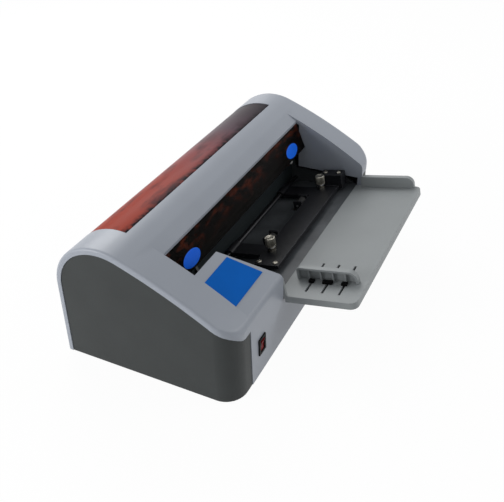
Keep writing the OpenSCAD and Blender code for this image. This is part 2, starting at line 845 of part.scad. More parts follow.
module shaft_bushes() {
    color([0.72, 0.55, 0.25])
        for (c = [feed_c, lower_c, upper_c]) at_yz(c) {
            translate([frame_left_x, 0, 0]) mirror([1, 0, 0]) bush_ring();
            translate([frame_right_x, 0, 0]) bush_ring();
        }
}

// Folded cover over the front of the blades, low at its right end
blade_cover_t = 1.5;
blade_cover_low = level_z + 6;
blade_cover_top = 89;
blade_cover_x1 = frame_right_x - 29;
blade_cover_y = [103, 113];
blade_cover_back = 2;
blade_cover_lip = [3, 5];
ring_wall = 1.8;
ring_len = 6;
module blade_cover() {
    front_y = blade_cover_y[0];
    top_y = front_y - blade_cover_back;
    rear_y = blade_cover_y[1];
    lip_y = rear_y + blade_cover_lip[0];
    lip_z = blade_cover_top - blade_cover_lip[1];
    t = blade_cover_t;
    color([0.07, 0.07, 0.08]) difference() {
        union() {
            bar_x(frame_left_x, blade_cover_x1)
                polygon([[front_y, blade_cover_low], [top_y, blade_cover_top - t],
                    [top_y + 1, blade_cover_top], [rear_y, blade_cover_top + t],
                    [lip_y, lip_z], [lip_y - t, lip_z],
                    [rear_y - 1, blade_cover_top], [top_y + t, blade_cover_top - t],
                    [front_y + t, blade_cover_low]]);
            bar_x(blade_cover_x1 - eps, frame_right_x)
                translate([front_y, blade_cover_low])
                    square([t, plunger_z - plunger_r - blade_cover_low]);
            translate([plunger_x, front_y + ring_len, plunger_z]) rotate([90, 0, 0])
                cylinder(r = plunger_r + ring_wall, h = ring_len);
        }
        translate([plunger_x, front_y + over / 2, plunger_z]) rotate([90, 0, 0])
            cylinder(r = plunger_r + fit_gap, h = over);
    }
}

// Cover over the gears, screwed to the left side frame
gear_cover_z = 66;
gear_cover_t = 1.5;
gear_cover_y0 = 36;
gear_cover_y1 = 104;
gear_cover_lip = 9;
gear_cover_out = 3;
gear_cover_notch = 10;
module gear_cover() {
    x0 = -open_x - gear_cover_out;
    x1 = frame_left_x - frame_t;
    t = gear_cover_t;
    color([0.07, 0.07, 0.08]) {
        bar_x(x0, x1)
            polygon([[gear_cover_y0, gear_cover_z], [gear_cover_y1, gear_cover_z],
                [gear_cover_y1, blade_cover_top], [gear_cover_y1 - t, blade_cover_top],
                [gear_cover_y1 - t, gear_cover_z + t], [gear_cover_y0, gear_cover_z + t]]);
        translate([x1 - t, gear_cover_y0, gear_cover_z - gear_cover_lip])
            cube([t, gear_cover_y1 - gear_cover_y0 - gear_cover_notch, gear_cover_lip + t]);
    }
}

// ---- press frame: a flat frame over the bed, hinged at the rear ----
press_low = 4;
crossbar_y = 24;
press_x1 = right_stop_x + 2;
bar_past_arm = [19, 22];
arm_x1 = press_x1 - arm_w / 2 - bar_past_arm[1];
arm_x = [arm_x1 - arm_pitch, arm_x1];
press_x0 = arm_x[0] - arm_w / 2 - bar_past_arm[0];
screw_off = [1, 10];
screw_x = arm_x + screw_off;
hub_r = 5;
pinch_w = 14;
pinch_in = 28;
pinch_x = [arm_x[0] + pinch_in, arm_x[1] - pinch_in];
pinch_gap = 0.3;
pinch_z = wheel_rise + pinch_gap + pinch_r;
pinch_pin_r = 1.5;
cheek_t = 3;
cheek_d = 12;
cheek_low = 2.6;
cheek_h = press_low + press_t + 1.4;
cheek_gap = 0.4;
screw_y = 46;
screw_bush_r = 3.5;
end_block_w = 16;
end_block_d = 30;
end_block_h = 15;
end_block_fore = 5;
module press_frame() {
    color([0.06, 0.06, 0.07]) on_bed() difference() {
        union() {
            translate([press_x0, crossbar_y, press_low])
                cube([press_x1 - press_x0, crossbar_d, press_t]);
            for (x = arm_x) {
                translate([x - arm_w / 2, crossbar_y + crossbar_d - 1, press_low])
                    cube([arm_w, hinge_at[0] - crossbar_y - crossbar_d + 1, press_t]);
                at_yz(hinge_at) rod_x(x - arm_w / 2, x + arm_w / 2, hub_r);
            }
            // Cheeks that hold the pinch rollers
            for (x = pinch_x, s = [-1, 1])
                translate([x + s * (pinch_w / 2 + cheek_gap + cheek_t / 2) - cheek_t / 2,
                    crossbar_y + crossbar_d - 1, cheek_low])
                    cube([cheek_t, cheek_d, cheek_h]);
            // Block at the right end
            translate([press_x1 - end_block_w, crossbar_y - end_block_fore, press_low])
                cube([end_block_w, end_block_d, press_t + end_block_h]);
        }
        for (x = screw_x) translate([x, screw_y, 0])
            cylinder(r = screw_bush_r + fit_gap, h = over);
        for (x = arm_x) at_yz(hinge_at) rod_x(x - arm_w, x + arm_w, hinge_r + run_gap);
        for (x = pinch_x)
            translate([0, feed_at_y, pinch_z]) rod_x(x - pinch_w, x + pinch_w, pinch_pin_r + fit_gap);
    }
}

module hinge_rod() {
    color([0.7, 0.71, 0.72]) at_yz(hinge_c)
        rod_x(frame_left_x - frame_t, frame_right_x + frame_t, hinge_r);
}

screw_flange_r = 5;
screw_flange_t = 3;
module screw_bushes() {
    color([0.72, 0.60, 0.34]) on_bed()
        for (x = screw_x) translate([x, screw_y, 0]) difference() {
            union() {
                translate([0, 0, press_low]) cylinder(r = screw_bush_r, h = press_t);
                translate([0, 0, press_low + press_t])
                    cylinder(r = screw_flange_r, h = screw_flange_t);
            }
            cylinder(r = stem_d / 2 + run_gap, h = over);
        }
}

// Springs that keep the thumb screws from working loose
spring_r = 4;
wire_r = 0.5;
spring_turns = 4;
spring_len = 7;
spring_z0 = press_low + press_t + screw_flange_t + wire_r;
spring_z1 = spring_z0 + spring_len;
rings_per_turn = 8;
wire_sides = 6;
function spring_point(t) =
    [spring_r * cos(360 * t), spring_r * sin(360 * t),
        spring_z0 + (spring_z1 - spring_z0) * t / spring_turns];
module spring() {
    n = spring_turns * rings_per_turn;
    points = [for (i = [0:n]) let (t = i / rings_per_turn, c = spring_point(t))
        for (k = [0:wire_sides - 1]) let (a = 360 * k / wire_sides)
            c + wire_r * [cos(a) * cos(360 * t), cos(a) * sin(360 * t), sin(a)]];
    walls = [for (i = [0:n - 1], k = [0:wire_sides - 1])
        let (a = i * wire_sides + k, b = i * wire_sides + (k + 1) % wire_sides)
            each [[a, b, a + wire_sides], [b, b + wire_sides, a + wire_sides]]];
    first = [for (k = [1:wire_sides - 2]) [0, k + 1, k]];
    m = n * wire_sides;
    last = [for (k = [1:wire_sides - 2]) [m, m + k, m + k + 1]];
    polyhedron(points = points, faces = concat(walls, first, last));
}

module screw_springs() {
    color([0.7, 0.7, 0.72]) on_bed() for (x = screw_x) translate([x, screw_y, 0]) spring();
}

// Thumb screw with a knurled head
head_z = spring_z1 + wire_r + slide_gap;
head_h = 5;
ridges = 28;
ridge_h = 0.35;
cap_r = 4.8;
cap_h = 2;
cap_edge = 0.6;
module thumb_screw() {
    translate([0, 0, press_low + merge]) cylinder(r = stem_d / 2, h = head_z - press_low);
    translate([0, 0, head_z])
        linear_extrude(height = head_h)
            polygon([for (i = [0:2 * ridges - 1]) let (a = 180 * i / ridges)
                (knob_d / 2 - (i % 2) * ridge_h) * [cos(a), sin(a)]]);
    translate([0, 0, head_z + head_h])
        rotate_extrude() polygon([[0, 0], [cap_r, 0], [cap_r, cap_h - cap_edge],
            [cap_r - cap_edge, cap_h], [0, cap_h]]);
}

module left_thumb_screw() {
    color([0.66, 0.63, 0.55]) on_bed() translate([screw_x[0], screw_y, 0]) thumb_screw();
}

module right_thumb_screw() {
    color([0.66, 0.63, 0.55]) on_bed() translate([screw_x[1], screw_y, 0]) thumb_screw();
}

module pinch_rollers() {
    color([0.1, 0.1, 0.1]) on_bed() for (x = pinch_x)
        translate([0, feed_at_y, pinch_z]) difference() {
            rod_x(x - pinch_w / 2, x + pinch_w / 2, pinch_r);
            rod_x(x - pinch_w, x + pinch_w, pinch_pin_r + run_gap);
        }
}

pinch_pin_out = 4;
module pinch_pins() {
    color([0.7, 0.71, 0.72]) on_bed() for (x = pinch_x)
        translate([0, feed_at_y, pinch_z])
            rod_x(x - pinch_w / 2 - pinch_pin_out, x + pinch_w / 2 + pinch_pin_out, pinch_pin_r);
}

// ---- rotating parts ----
wheel_w = 20;
wheel_gap = 1.5;
wheel_cut = 20;
collar_gap = 1;
feed_shaft_r = journal_d / 2 + 1;
module journal_shaft(r) {
    step_in = bush_flange_t + collar_gap;
    rod_x(shaft_x0, shaft_x1, journal_d / 2);
    rod_x(frame_left_x + step_in, frame_right_x - step_in, r);
}

module feed_shaft() {
    color([0.7, 0.71, 0.72]) at_yz(feed_c) journal_shaft(feed_shaft_r);
}

module feed_wheels() {
    color([0.12, 0.12, 0.12]) at_yz(feed_c) for (x = pinch_x) difference() {
        rod_x(x - wheel_w / 2, x + wheel_w / 2, wheel_r);
        rod_x(x - wheel_w, x + wheel_w, feed_shaft_r + fit_gap);
    }
}

module lower_cutter_shaft() color([0.7, 0.71, 0.72]) at_yz(lower_c) journal_shaft(shaft_d / 2);
module upper_cutter_shaft() color([0.7, 0.71, 0.72]) at_yz(upper_c) journal_shaft(shaft_d / 2);

cut_x = [feed_x - strip_w, feed_x, feed_x + strip_w];
cut_gap = 0.06;
blade_bevel = 0.7;
blade_hub = [4.5, 6];
// Disc blade with a hub, its cutting face at x = 0 and the rest on the side of +X
module disc_blade() {
    bore = shaft_d / 2 + fit_gap;
    hub_r = shaft_d / 2 + blade_hub[0];
    hub_x = blade_t + blade_hub[1];
    rotate([0, 90, 0]) rotate_extrude() polygon([[bore, 0], [blade_r, 0],
        [blade_r - blade_bevel, blade_t], [hub_r, blade_t], [hub_r, hub_x], [bore, hub_x]]);
}

module lower_blades() {
    color([0.78, 0.79, 0.8]) at_yz(lower_c)
        for (x = cut_x) translate([x + cut_gap / 2, 0, 0]) disc_blade();
}

module upper_blades() {
    color([0.78, 0.79, 0.8]) at_yz(upper_c)
        for (x = cut_x) translate([x - cut_gap / 2, 0, 0]) mirror([1, 0, 0]) disc_blade();
}

ring_w = 8;
ring_gap = 0.6;
ring_in = 22;
ring_r = blade_r - (blade_lap + ring_gap) / 2;
ring_x = [for (x = [cut_x[0], cut_x[1]], d = [ring_in, strip_w - ring_in]) x + d];
module grip_rings() {
    for (x = ring_x) difference() {
        rod_x(x - ring_w / 2, x + ring_w / 2, ring_r);
        rod_x(x - ring_w, x + ring_w, shaft_d / 2 + fit_gap);
    }
}

module lower_grip_rings() color([0.15, 0.15, 0.16]) at_yz(lower_c) grip_rings();
module upper_grip_rings() color([0.15, 0.15, 0.16]) at_yz(upper_c) grip_rings();

// ---- gears: involute teeth at 20 degrees ----
pressure = 20;
backlash = 0.12;
addendum = 0.95;
dedendum = 1.2;
root_land_deg = 2;
flank_steps = 4;
function involute(base, r) = let (a = acos(base / r)) tan(a) * 180 / PI - a;
module gear_face(teeth) {
    m = tooth_m;
    pitch = m * teeth / 2;
    base = pitch * cos(pressure);
    tip = pitch + addendum * m;
    root = pitch - dedendum * m;
    low = max(base, root) + 0.01;
    half = 90 / teeth - backlash / pitch * 90 / PI + involute(base, pitch);
    flank = [for (i = [0:flank_steps]) low + (tip - low) * i / flank_steps];
    polygon([for (k = [0:teeth - 1]) let (c = 360 * k / teeth) each concat(
        [root * [cos(c - 180 / teeth + root_land_deg), sin(c - 180 / teeth + root_land_deg)]],
        [root * [cos(c - half + involute(base, low)), sin(c - half + involute(base, low))]],
        [for (r = flank) r * [cos(c - half + involute(base, r)), sin(c - half + involute(base, r))]],
        [for (i = [flank_steps:-1:0]) let (r = flank[i])
            r * [cos(c + half - involute(base, r)), sin(c + half - involute(base, r))]],
        [root * [cos(c + half - involute(base, low)), sin(c + half - involute(base, low))]])]);
}

// Gear turned by a phase about its axis, lying in the gears' plane
module gear(c, teeth, phase, bore, x = gear_x) {
    at_yz(c) difference() {
        translate([x, 0, 0]) rotate([90, 0, 90]) linear_extrude(height = gear_w)
            rotate(phase) gear_face(teeth);
        rod_x(x - eps, x + gear_w + eps, bore);
    }
}

// Phase of a gear b in mesh with a gear a of known phase
function heading(a, b) = atan2(b[1] - a[1], b[0] - a[0]);
function meshed(phase_a, teeth_a, teeth_b, deg) =
    deg + 180 - 180 / teeth_b + (deg - phase_a) * teeth_a / teeth_b;

// Tooth size: pitch diameter over teeth. The idler just reaches from gear to gear.
tooth_m = centre_dist / gear_teeth;
feed_span = norm(feed_c - lower_c);
idler_teeth = ceil(feed_span / tooth_m - gear_teeth);
idler_reach = tooth_m * (gear_teeth + idler_teeth) / 2;
idler_deg = heading(lower_c, feed_c) - acos(feed_span / 2 / idler_reach);
idler_c = lower_c + idler_reach * [cos(idler_deg), sin(idler_deg)];
pinion_c = lower_c + tooth_m * (gear_teeth + pinion_teeth) / 2 * [1, 0];
drive_phase = 0;
upper_phase = meshed(drive_phase, gear_teeth, gear_teeth, heading(lower_c, upper_c));
idler_phase = meshed(drive_phase, gear_teeth, idler_teeth, idler_deg);
feed_phase = meshed(idler_phase, idler_teeth, gear_teeth, heading(idler_c, feed_c));
pinion_phase = meshed(drive_phase, gear_teeth, pinion_teeth, 0);
stud_r = 4;
stud_collar = [2, 2.2];
stud_gap = 0.8;
motor_shaft_r = 3;

module drive_gear() {
    color([0.85, 0.84, 0.78]) gear(lower_c, gear_teeth, drive_phase, journal_d / 2 + fit_gap);
}

module upper_gear() {
    color([0.85, 0.84, 0.78]) gear(upper_c, gear_teeth, upper_phase, journal_d / 2 + fit_gap);
}

module feed_gear() {
    color([0.85, 0.84, 0.78]) gear(feed_c, gear_teeth, feed_phase, journal_d / 2 + fit_gap);
}

module idler_gear() {
    color([0.85, 0.84, 0.78]) gear(idler_c, idler_teeth, idler_phase, stud_r + run_gap);
}

module idler_stud() {
    color([0.7, 0.71, 0.72]) at_yz(idler_c) {
        rod_x(gear_x - stud_gap - merge, frame_left_x - frame_t, stud_r);
        rod_x(gear_x - stud_gap - stud_collar[1], gear_x - stud_gap, stud_r + stud_collar[0]);
        rod_x(gear_x + gear_w + stud_gap, frame_left_x - frame_t, stud_r + stud_collar[0]);
    }
}

// ---- motor ----
bracket_x = gear_x - 6;
bracket_t = 3;
motor_r = 17.4;
gearbox_len = 22;
motor_len = 36;
motor_cap_len = 3;
motor_cap_r = 5;
motor_can_in = 2;
motor_bore_len = 12;
bracket_half = 20;
bracket_over = 4;
bracket_corner = [10, 12];
bracket_hole_r = 9;
bracket_foot = [12, 6, 2];
module motor_pinion() {
    color([0.75, 0.65, 0.4]) {
        gear(pinion_c, pinion_teeth, pinion_phase, motor_shaft_r);
        at_yz(pinion_c) rod_x(bracket_x - bracket_t - 1, gear_x + gear_w, motor_shaft_r);
    }
}

module gear_motor() {
    color([0.62, 0.63, 0.64]) at_yz(pinion_c) difference() {
        union() {
            x1 = bracket_x - bracket_t;
            x0 = x1 - gearbox_len - motor_len;
            rod_x(x1 - gearbox_len, x1, motor_r);
            rod_x(x0, x1 - gearbox_len, motor_r - motor_can_in);
            rod_x(x0 - motor_cap_len, x0, motor_cap_r);
        }
        rod_x(bracket_x - bracket_t - motor_bore_len, bracket_x, motor_shaft_r + run_gap);
    }
}

module motor_bracket() {
    top_z = pinion_c[1] + motor_r + bracket_over;
    color([0.5, 0.52, 0.54]) {
        difference() {
            bar_x(bracket_x - bracket_t, bracket_x)
                translate([pinion_c[0], 0])
                    polygon([[-bracket_half, pan_top], [bracket_half, pan_top],
                        [bracket_half, top_z - bracket_corner[1]],
                        [bracket_half - bracket_corner[0], top_z],
                        [bracket_corner[0] - bracket_half, top_z],
                        [-bracket_half, top_z - bracket_corner[1]]]);
            at_yz(pinion_c) rod_x(bracket_x - 2 * bracket_t, bracket_x + eps, bracket_hole_r);
        }
        for (y = [-bracket_half, bracket_half - bracket_foot[1]])
            translate([bracket_x - bracket_t - bracket_foot[0], pinion_c[0] + y, pan_top])
                cube(bracket_foot + [merge, 0, 0]);
    }
}

// ---- control board: its transformer, relay and terminal block, and a capacitor ----
board_t = 1.6;
board_blocks = [[[8, 44], [26, 30, 22]], [[40, 50], [14, 18, 12]], [[36, 14], [16, 12, 9]]];
capacitor_at = [14, 18];
capacitor_size = [6, 18];
module control_board() {
    translate([board_x0, board_y0, board_z]) {
        color([0.10, 0.35, 0.18]) cube([board_w, board_d, board_t]);
        color([0.15, 0.15, 0.16]) {
            for (b = board_blocks) translate([b[0][0], b[0][1], board_t]) cube(b[1]);
            translate([capacitor_at[0], capacitor_at[1], board_t])
                cylinder(r = capacitor_size[0], h = capacitor_size[1]);
        }
    }
}

// ---- power inlet, with its recess open to the rear ----
inlet_flange = 2;
inlet_flange_t = 1.2;
inlet_depth = 20;
recess_w = 24;
recess_h = 16;
recess_d = 17;
module power_inlet() {
    color([0.06, 0.06, 0.06]) in_rear_wall(inlet_x, inlet_z) difference() {
        union() {
            translate([-inlet_w / 2 - inlet_flange, 0, -inlet_h / 2 - inlet_flange])
                cube([inlet_w + 2 * inlet_flange, inlet_flange_t, inlet_h + 2 * inlet_flange]);
            translate([side_gap - inlet_w / 2, -inlet_depth, side_gap - inlet_h / 2])
                cube([inlet_w - 2 * side_gap, inlet_depth + merge, inlet_h - 2 * side_gap]);
        }
        translate([-recess_w / 2, -recess_d, -recess_h / 2])
            cube([recess_w, recess_d + inlet_flange_t + eps, recess_h]);
    }
}

pin_w = 2;
pin_h = 4;
pin_len = 11;
pin_places = [[-7, 2], [7, 2], [0, -2]];
module inlet_pins() {
    color([0.75, 0.75, 0.76]) in_rear_wall(inlet_x, inlet_z)
        for (p = pin_places)
            translate([p[0] - pin_w / 2, -recess_d, p[1] - pin_h / 2]) cube([pin_w, pin_len, pin_h]);
}

// ---- spring plunger beside the blade cover, in a ring on the cover's low end ----
plunger_x = frame_right_x - 17;
plunger_z = 80;
plunger_y = 106;
plunger_r = 4;
plunger_len = 11;
tip_r = 3;
tip_len = 5;
tip_edge = [1, 1.6];
module plunger_barrel() {
    color([0.72, 0.42, 0.2]) translate([plunger_x, plunger_y + plunger_len / 2, plunger_z])
        rotate([90, 0, 0]) cylinder(r = plunger_r, h = plunger_len);
}

module plunger_tip() {
    color([0.9, 0.9, 0.88]) translate([plunger_x, plunger_y - plunger_len / 2, plunger_z])
        rotate([90, 0, 0]) rotate_extrude()
            polygon([[0, 0], [tip_r, 0], [tip_r, tip_len - tip_edge[1]],
                [tip_r - tip_edge[0], tip_len - 0.4], [0, tip_len]]);
}

// ---- heads of the screws that hold the cover to the pan, beside the feet ----
pan_screw_in = [30, 4];
pan_screw_r = 4;
pan_screw_h = 1.8;
module cover_screws() {
    color([0.5, 0.5, 0.52])
        for (x = [-foot_x + pan_screw_in[0], foot_x - pan_screw_in[0]],
            y = [foot_y0 + pan_screw_in[1], foot_y1 - pan_screw_in[1]])
            translate([x, y, pan_low - pan_screw_h]) cylinder(r = pan_screw_r, h = pan_screw_h);
}

place() top_cover();
place() left_end_panel();
place() right_end_panel();
place() top_window();
place() guard_strip();
place() guard_ovals();
place() control_plate();
place() switch_bezel();
place() rocker_button();
place() base_pan();
place() rubber_feet();
place() feed_tray();
place() left_guide();
place() guide_clamps();
place() right_guide();
place() bed_plate();
place() exit_plate();
place() left_side_frame();
place() right_side_frame();
place() tie_rods();
place() blade_cover();
place() gear_cover();
place() press_frame();
place() hinge_rod();
place() screw_bushes();
place() screw_springs();
place() left_thumb_screw();
place() right_thumb_screw();
place() pinch_rollers();
place() pinch_pins();
place() feed_shaft();
place() feed_wheels();
place() lower_cutter_shaft();
place() lower_blades();
place() lower_grip_rings();
place() upper_cutter_shaft();
place() upper_blades();
place() upper_grip_rings();
place() shaft_bushes();
place() drive_gear();
place() upper_gear();
place() feed_gear();
place() idler_gear();
place() idler_stud();
place() gear_motor();
place() motor_pinion();
place() motor_bracket();
place() control_board();
place() power_inlet();
place() inlet_pins();
place() plunger_barrel();
place() plunger_tip();
place() frame_screws();
place() cover_screws();
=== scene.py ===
# %% [markdown]
# # A desk cutter for business cards
# The machine has a moulded grey cover with dark end panels, a tinted window over its crown, a
# blue plate beside its opening, and a sloping tray with two guides. Its construction comes in
# as a finished frame of named parts on moving bodies. Here it gets its looks: rounded edges,
# small detail and finishes. The frame is in metres. Lengths that belong to one part are written
# in millimetres and multiplied by MM.

# %% Load the frame
import json
import math

import bpy
import bmesh
import numpy as np
from mathutils import Matrix, Vector

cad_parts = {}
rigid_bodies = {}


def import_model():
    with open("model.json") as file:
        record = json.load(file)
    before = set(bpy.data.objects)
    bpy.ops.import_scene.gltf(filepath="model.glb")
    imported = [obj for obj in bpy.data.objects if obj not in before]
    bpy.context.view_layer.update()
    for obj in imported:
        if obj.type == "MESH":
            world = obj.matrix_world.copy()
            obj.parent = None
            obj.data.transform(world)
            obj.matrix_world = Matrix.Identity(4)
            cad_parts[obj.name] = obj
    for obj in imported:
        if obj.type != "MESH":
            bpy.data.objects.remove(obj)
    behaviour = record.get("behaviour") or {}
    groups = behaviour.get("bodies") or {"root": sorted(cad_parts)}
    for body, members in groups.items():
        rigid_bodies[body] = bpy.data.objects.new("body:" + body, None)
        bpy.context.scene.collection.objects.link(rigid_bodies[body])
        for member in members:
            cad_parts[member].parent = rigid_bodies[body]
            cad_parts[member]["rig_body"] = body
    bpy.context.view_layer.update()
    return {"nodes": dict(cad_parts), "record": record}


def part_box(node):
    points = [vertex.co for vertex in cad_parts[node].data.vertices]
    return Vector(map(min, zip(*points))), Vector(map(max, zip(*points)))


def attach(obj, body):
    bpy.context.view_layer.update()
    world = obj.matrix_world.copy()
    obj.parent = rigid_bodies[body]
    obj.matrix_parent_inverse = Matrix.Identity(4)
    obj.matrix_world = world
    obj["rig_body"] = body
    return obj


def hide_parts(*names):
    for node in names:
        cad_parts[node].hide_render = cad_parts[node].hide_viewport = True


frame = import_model()
NODES = frame["nodes"]
MM = 0.001

# %% [markdown]
# ## The camera
# The camera stands in front of the machine's left end and looks down at it. Its place and its
# three angles were worked out from the straight edges of the body, so that the render can be
# laid over a photograph of the real machine. The focal length is in pixels of an image that is
# 504 by 502 pixels, and becomes millimetres through the width of the sensor.

# %% The camera
IMAGE_W = 504
FOCAL_PX = 679.34
SENSOR = 36.0
NEAR, FAR = 0.01, 20
AZIMUTH = math.radians(-62.66278)
ELEVATION = math.radians(35.42859)
ROLL = math.radians(-2.21416)
EYE = Vector((-602.4, -293.4, 519.2)) * MM


def camera_axes(azimuth, elevation, roll):
    """Right, up and back of a camera: back points from the subject to the eye, right is level,
    and the roll turns right and up about back."""
    back = Vector((math.sin(azimuth) * math.cos(elevation),
                   -math.cos(azimuth) * math.cos(elevation), math.sin(elevation)))
    right = Vector((math.cos(azimuth), math.sin(azimuth), 0))
    up = back.cross(right)
    return (right * math.cos(roll) + up * math.sin(roll),
            up * math.cos(roll) - right * math.sin(roll), back)


camera_data = bpy.data.cameras.new("camera")
camera_data.sensor_width = SENSOR
camera_data.lens = FOCAL_PX * SENSOR / IMAGE_W
camera_data.clip_start, camera_data.clip_end = NEAR, FAR
camera = bpy.data.objects.new("camera", camera_data)
bpy.context.scene.collection.objects.link(camera)
turn = Matrix(camera_axes(AZIMUTH, ELEVATION, ROLL)).transposed()
camera.matrix_world = Matrix.Translation(EYE) @ turn.to_4x4()
bpy.context.scene.camera = camera
print("lens:", round(camera_data.lens, 2), "mm")

# %% [markdown]
# ## White all round
# A product is photographed in white surroundings under soft light. A world of full white would
# light the object far too much, so this one does two jobs. The eye, reflections and glass see
# white at a strength of one, and the light that falls on the object is softer and a little blue.
# The Light Path node tells the two apart.

# %% World
scene = bpy.context.scene
scene.view_settings.view_transform = "Standard"
SOFT_COLOUR, SOFT_STRENGTH = (0.96, 0.98, 1.0), 0.42


def combined(nodes, links, operation, first, second, clamp=False):
    """One Math node on two values. The second is a number or another node's output."""
    node = nodes.new("ShaderNodeMath")
    node.operation = operation
    node.use_clamp = clamp
    links.new(first, node.inputs[0])
    if isinstance(second, float):
        node.inputs[1].default_value = second
    else:
        links.new(second, node.inputs[1])
    return node.outputs[0]


def seen_directly(nodes, links):
    """One where the eye, a reflection or a view through glass meets the surface, else zero."""
    ray = nodes.new("ShaderNodeLightPath").outputs
    mirrored = combined(nodes, links, "MAXIMUM", ray["Is Camera Ray"], ray["Is Glossy Ray"])
    return combined(nodes, links, "MAXIMUM", mirrored, ray["Is Transmission Ray"])


def mixed_shader(nodes, links, share, first, second, out):
    """A mix of two shaders by a share from 0 to 1, sent to the tree's output."""
    mix = nodes.new("ShaderNodeMixShader")
    links.new(share, mix.inputs["Fac"])
    links.new(first.outputs[0], mix.inputs[1])
    links.new(second.outputs[0], mix.inputs[2])
    links.new(mix.outputs[0], out.inputs["Surface"])


def make_world():
    """White wherever it is seen, and a softer light of its own colour on the object."""
    world = bpy.data.worlds.new("studio")
    world.use_nodes = True
    scene.world = world
    nodes, links = world.node_tree.nodes, world.node_tree.links
    nodes.clear()
    soft, white = nodes.new("ShaderNodeBackground"), nodes.new("ShaderNodeBackground")
    soft.inputs["Color"].default_value = (*SOFT_COLOUR, 1)
    soft.inputs["Strength"].default_value = SOFT_STRENGTH
    white.inputs["Color"].default_value = (1, 1, 1, 1)
    mixed_shader(nodes, links, seen_directly(nodes, links), soft, white,
                 nodes.new("ShaderNodeOutputWorld"))


make_world()
print("world strength on the object:", SOFT_STRENGTH)

# %% [markdown]
# ## Lamps
# Three large square lamps stand round the machine. One, low at the rear left, gives the left end
# its tone. One at the rear right brightens the crown, and one in front lights the slope and the
# opening. Their size keeps the shadows soft.

# %% Lamps
LAMPS = {
    "lamp_left": {"place": (-1.25, 1.0, 0.52), "aim": (0, 0.05, 0.08), "size": 0.6, "watts": 15.5},
    "lamp_crown": {"place": (0.77, 0.98, 1.04), "aim": (-0.2, 0.08, 0.15), "size": 0.9,
                   "watts": 13},
    "lamp_front": {"place": (0.9, -1.5, 1.2), "aim": (0, 0, 0.08), "size": 0.9, "watts": 11},
}


def make_lamp(name, place, aim, size, watts):
    """A square area lamp at a place, facing the aim."""
    data = bpy.data.lights.new(name, "AREA")
    data.size = size
    data.energy = watts
    lamp = bpy.data.objects.new(name, data)
    scene.collection.objects.link(lamp)
    lamp.location = place
    lamp.rotation_mode = "QUATERNION"
    lamp.rotation_quaternion = (Vector(aim) - Vector(place)).to_track_quat("-Z", "Y")


for name, lamp in LAMPS.items():
    make_lamp(name, **lamp)
print("lamps:", list(LAMPS))

# %% [markdown]
# ## The floor
# The machine stands on a white sweep. Where the eye sees it, it mostly glows white, and the rest
# is plain diffuse paint that keeps the object's shadow. To every other ray it is that paint, so
# it throws back no more light than a real white floor.

# %% Floor
FLOOR_HALF = 6.0
FLOOR_COLOUR = (0.9, 0.9, 0.9, 1)
GLOW_SHARE = 0.96


def floor_paint():
    """Diffuse paint, of which the eye sees GLOW_SHARE as an even glow."""
    material = bpy.data.materials.new("sweep")
    material.use_nodes = True
    nodes, links = material.node_tree.nodes, material.node_tree.links
    nodes.clear()
    paint, glow = nodes.new("ShaderNodeBsdfDiffuse"), nodes.new("ShaderNodeEmission")
    paint.inputs["Color"].default_value = FLOOR_COLOUR
    glow.inputs["Strength"].default_value = 1
    share = combined(nodes, links, "MULTIPLY", seen_directly(nodes, links), GLOW_SHARE)
    mixed_shader(nodes, links, share, paint, glow, nodes.new("ShaderNodeOutputMaterial"))
    return material


corners = FLOOR_HALF * np.array([(-1, -1, 0), (1, -1, 0), (1, 1, 0), (-1, 1, 0)])
floor_mesh = bpy.data.meshes.new("floor")
floor_mesh.from_pydata(corners.tolist(), [], [(0, 1, 2, 3)])
floor_mesh.materials.append(floor_paint())
floor = bpy.data.objects.new("floor", floor_mesh)
scene.collection.objects.link(floor)
print("floor:", 2 * FLOOR_HALF, "m wide")

# %% [markdown]
# ## Colours
# Colours are easiest to read as the 0 to 255 values of a screen. Blender's sockets want linear
# light, so one function takes each value through the curve of the sRGB standard.

# %% Colours


def linear(r, g, b):
    """Screen values as linear light: a straight line near black, and a power of 2.4 above it."""
    value = np.array([r, g, b]) / 255
    low, high = value / 12.92, ((value + 0.055) / 1.055) ** 2.4
    return tuple(float(v) for v in np.where(value <= 0.04045, low, high))


print("a screen's mid grey in linear light:", round(linear(128, 128, 128)[0], 3))

# %% [markdown]
# ## Noise
# No real surface is one flat colour. Noise on Object coordinates gives patches whose size is
# known in millimetres, because every piece's mesh is at its true place and size. Stretched along
# an axis, the patches become the fine lines of grinding. The noise lies around a half, so a
# Map Range node spreads the part that holds nearly all its values.

# %% Noise and blends
NOISE_LOW, NOISE_HIGH = 0.3, 0.7


def noise(nodes, links, where, size_mm, detail=3, stretch=None):
    """Noise whose patches are size_mm wide, drawn out by stretch, as a value around a half."""
    texture = nodes.new("ShaderNodeTexNoise")
    texture.inputs["Scale"].default_value = 1000 / size_mm
    texture.inputs["Detail"].default_value = detail
    if stretch:
        mapping = nodes.new("ShaderNodeMapping")
        mapping.inputs["Scale"].default_value = stretch
        links.new(where, mapping.inputs["Vector"])
        where = mapping.outputs["Vector"]
    links.new(where, texture.inputs["Vector"])
    return texture.outputs["Fac"]


def spread(nodes, links, value, low, high, out_low, out_high):
    """The value, taken from the range low to high into the range out_low to out_high."""
    span = nodes.new("ShaderNodeMapRange")
    span.inputs["From Min"].default_value = low
    span.inputs["From Max"].default_value = high
    span.inputs["To Min"].default_value = out_low
    span.inputs["To Max"].default_value = out_high
    links.new(value, span.inputs["Value"])
    return span.outputs["Result"]


def blend_colour(nodes, links, share, first, second):
    """A mix of two colours, each a tuple or another node's output, by a share from 0 to 1."""
    mix = nodes.new("ShaderNodeMix")
    mix.data_type = "RGBA"
    links.new(share, mix.inputs["Factor"])
    for socket, colour in ((mix.inputs[6], first), (mix.inputs[7], second)):
        if isinstance(colour, tuple):
            socket.default_value = (*colour, 1)
        else:
            links.new(colour, socket)
    return mix.outputs[2]


print("noise is spread from", NOISE_LOW, "to", NOISE_HIGH)

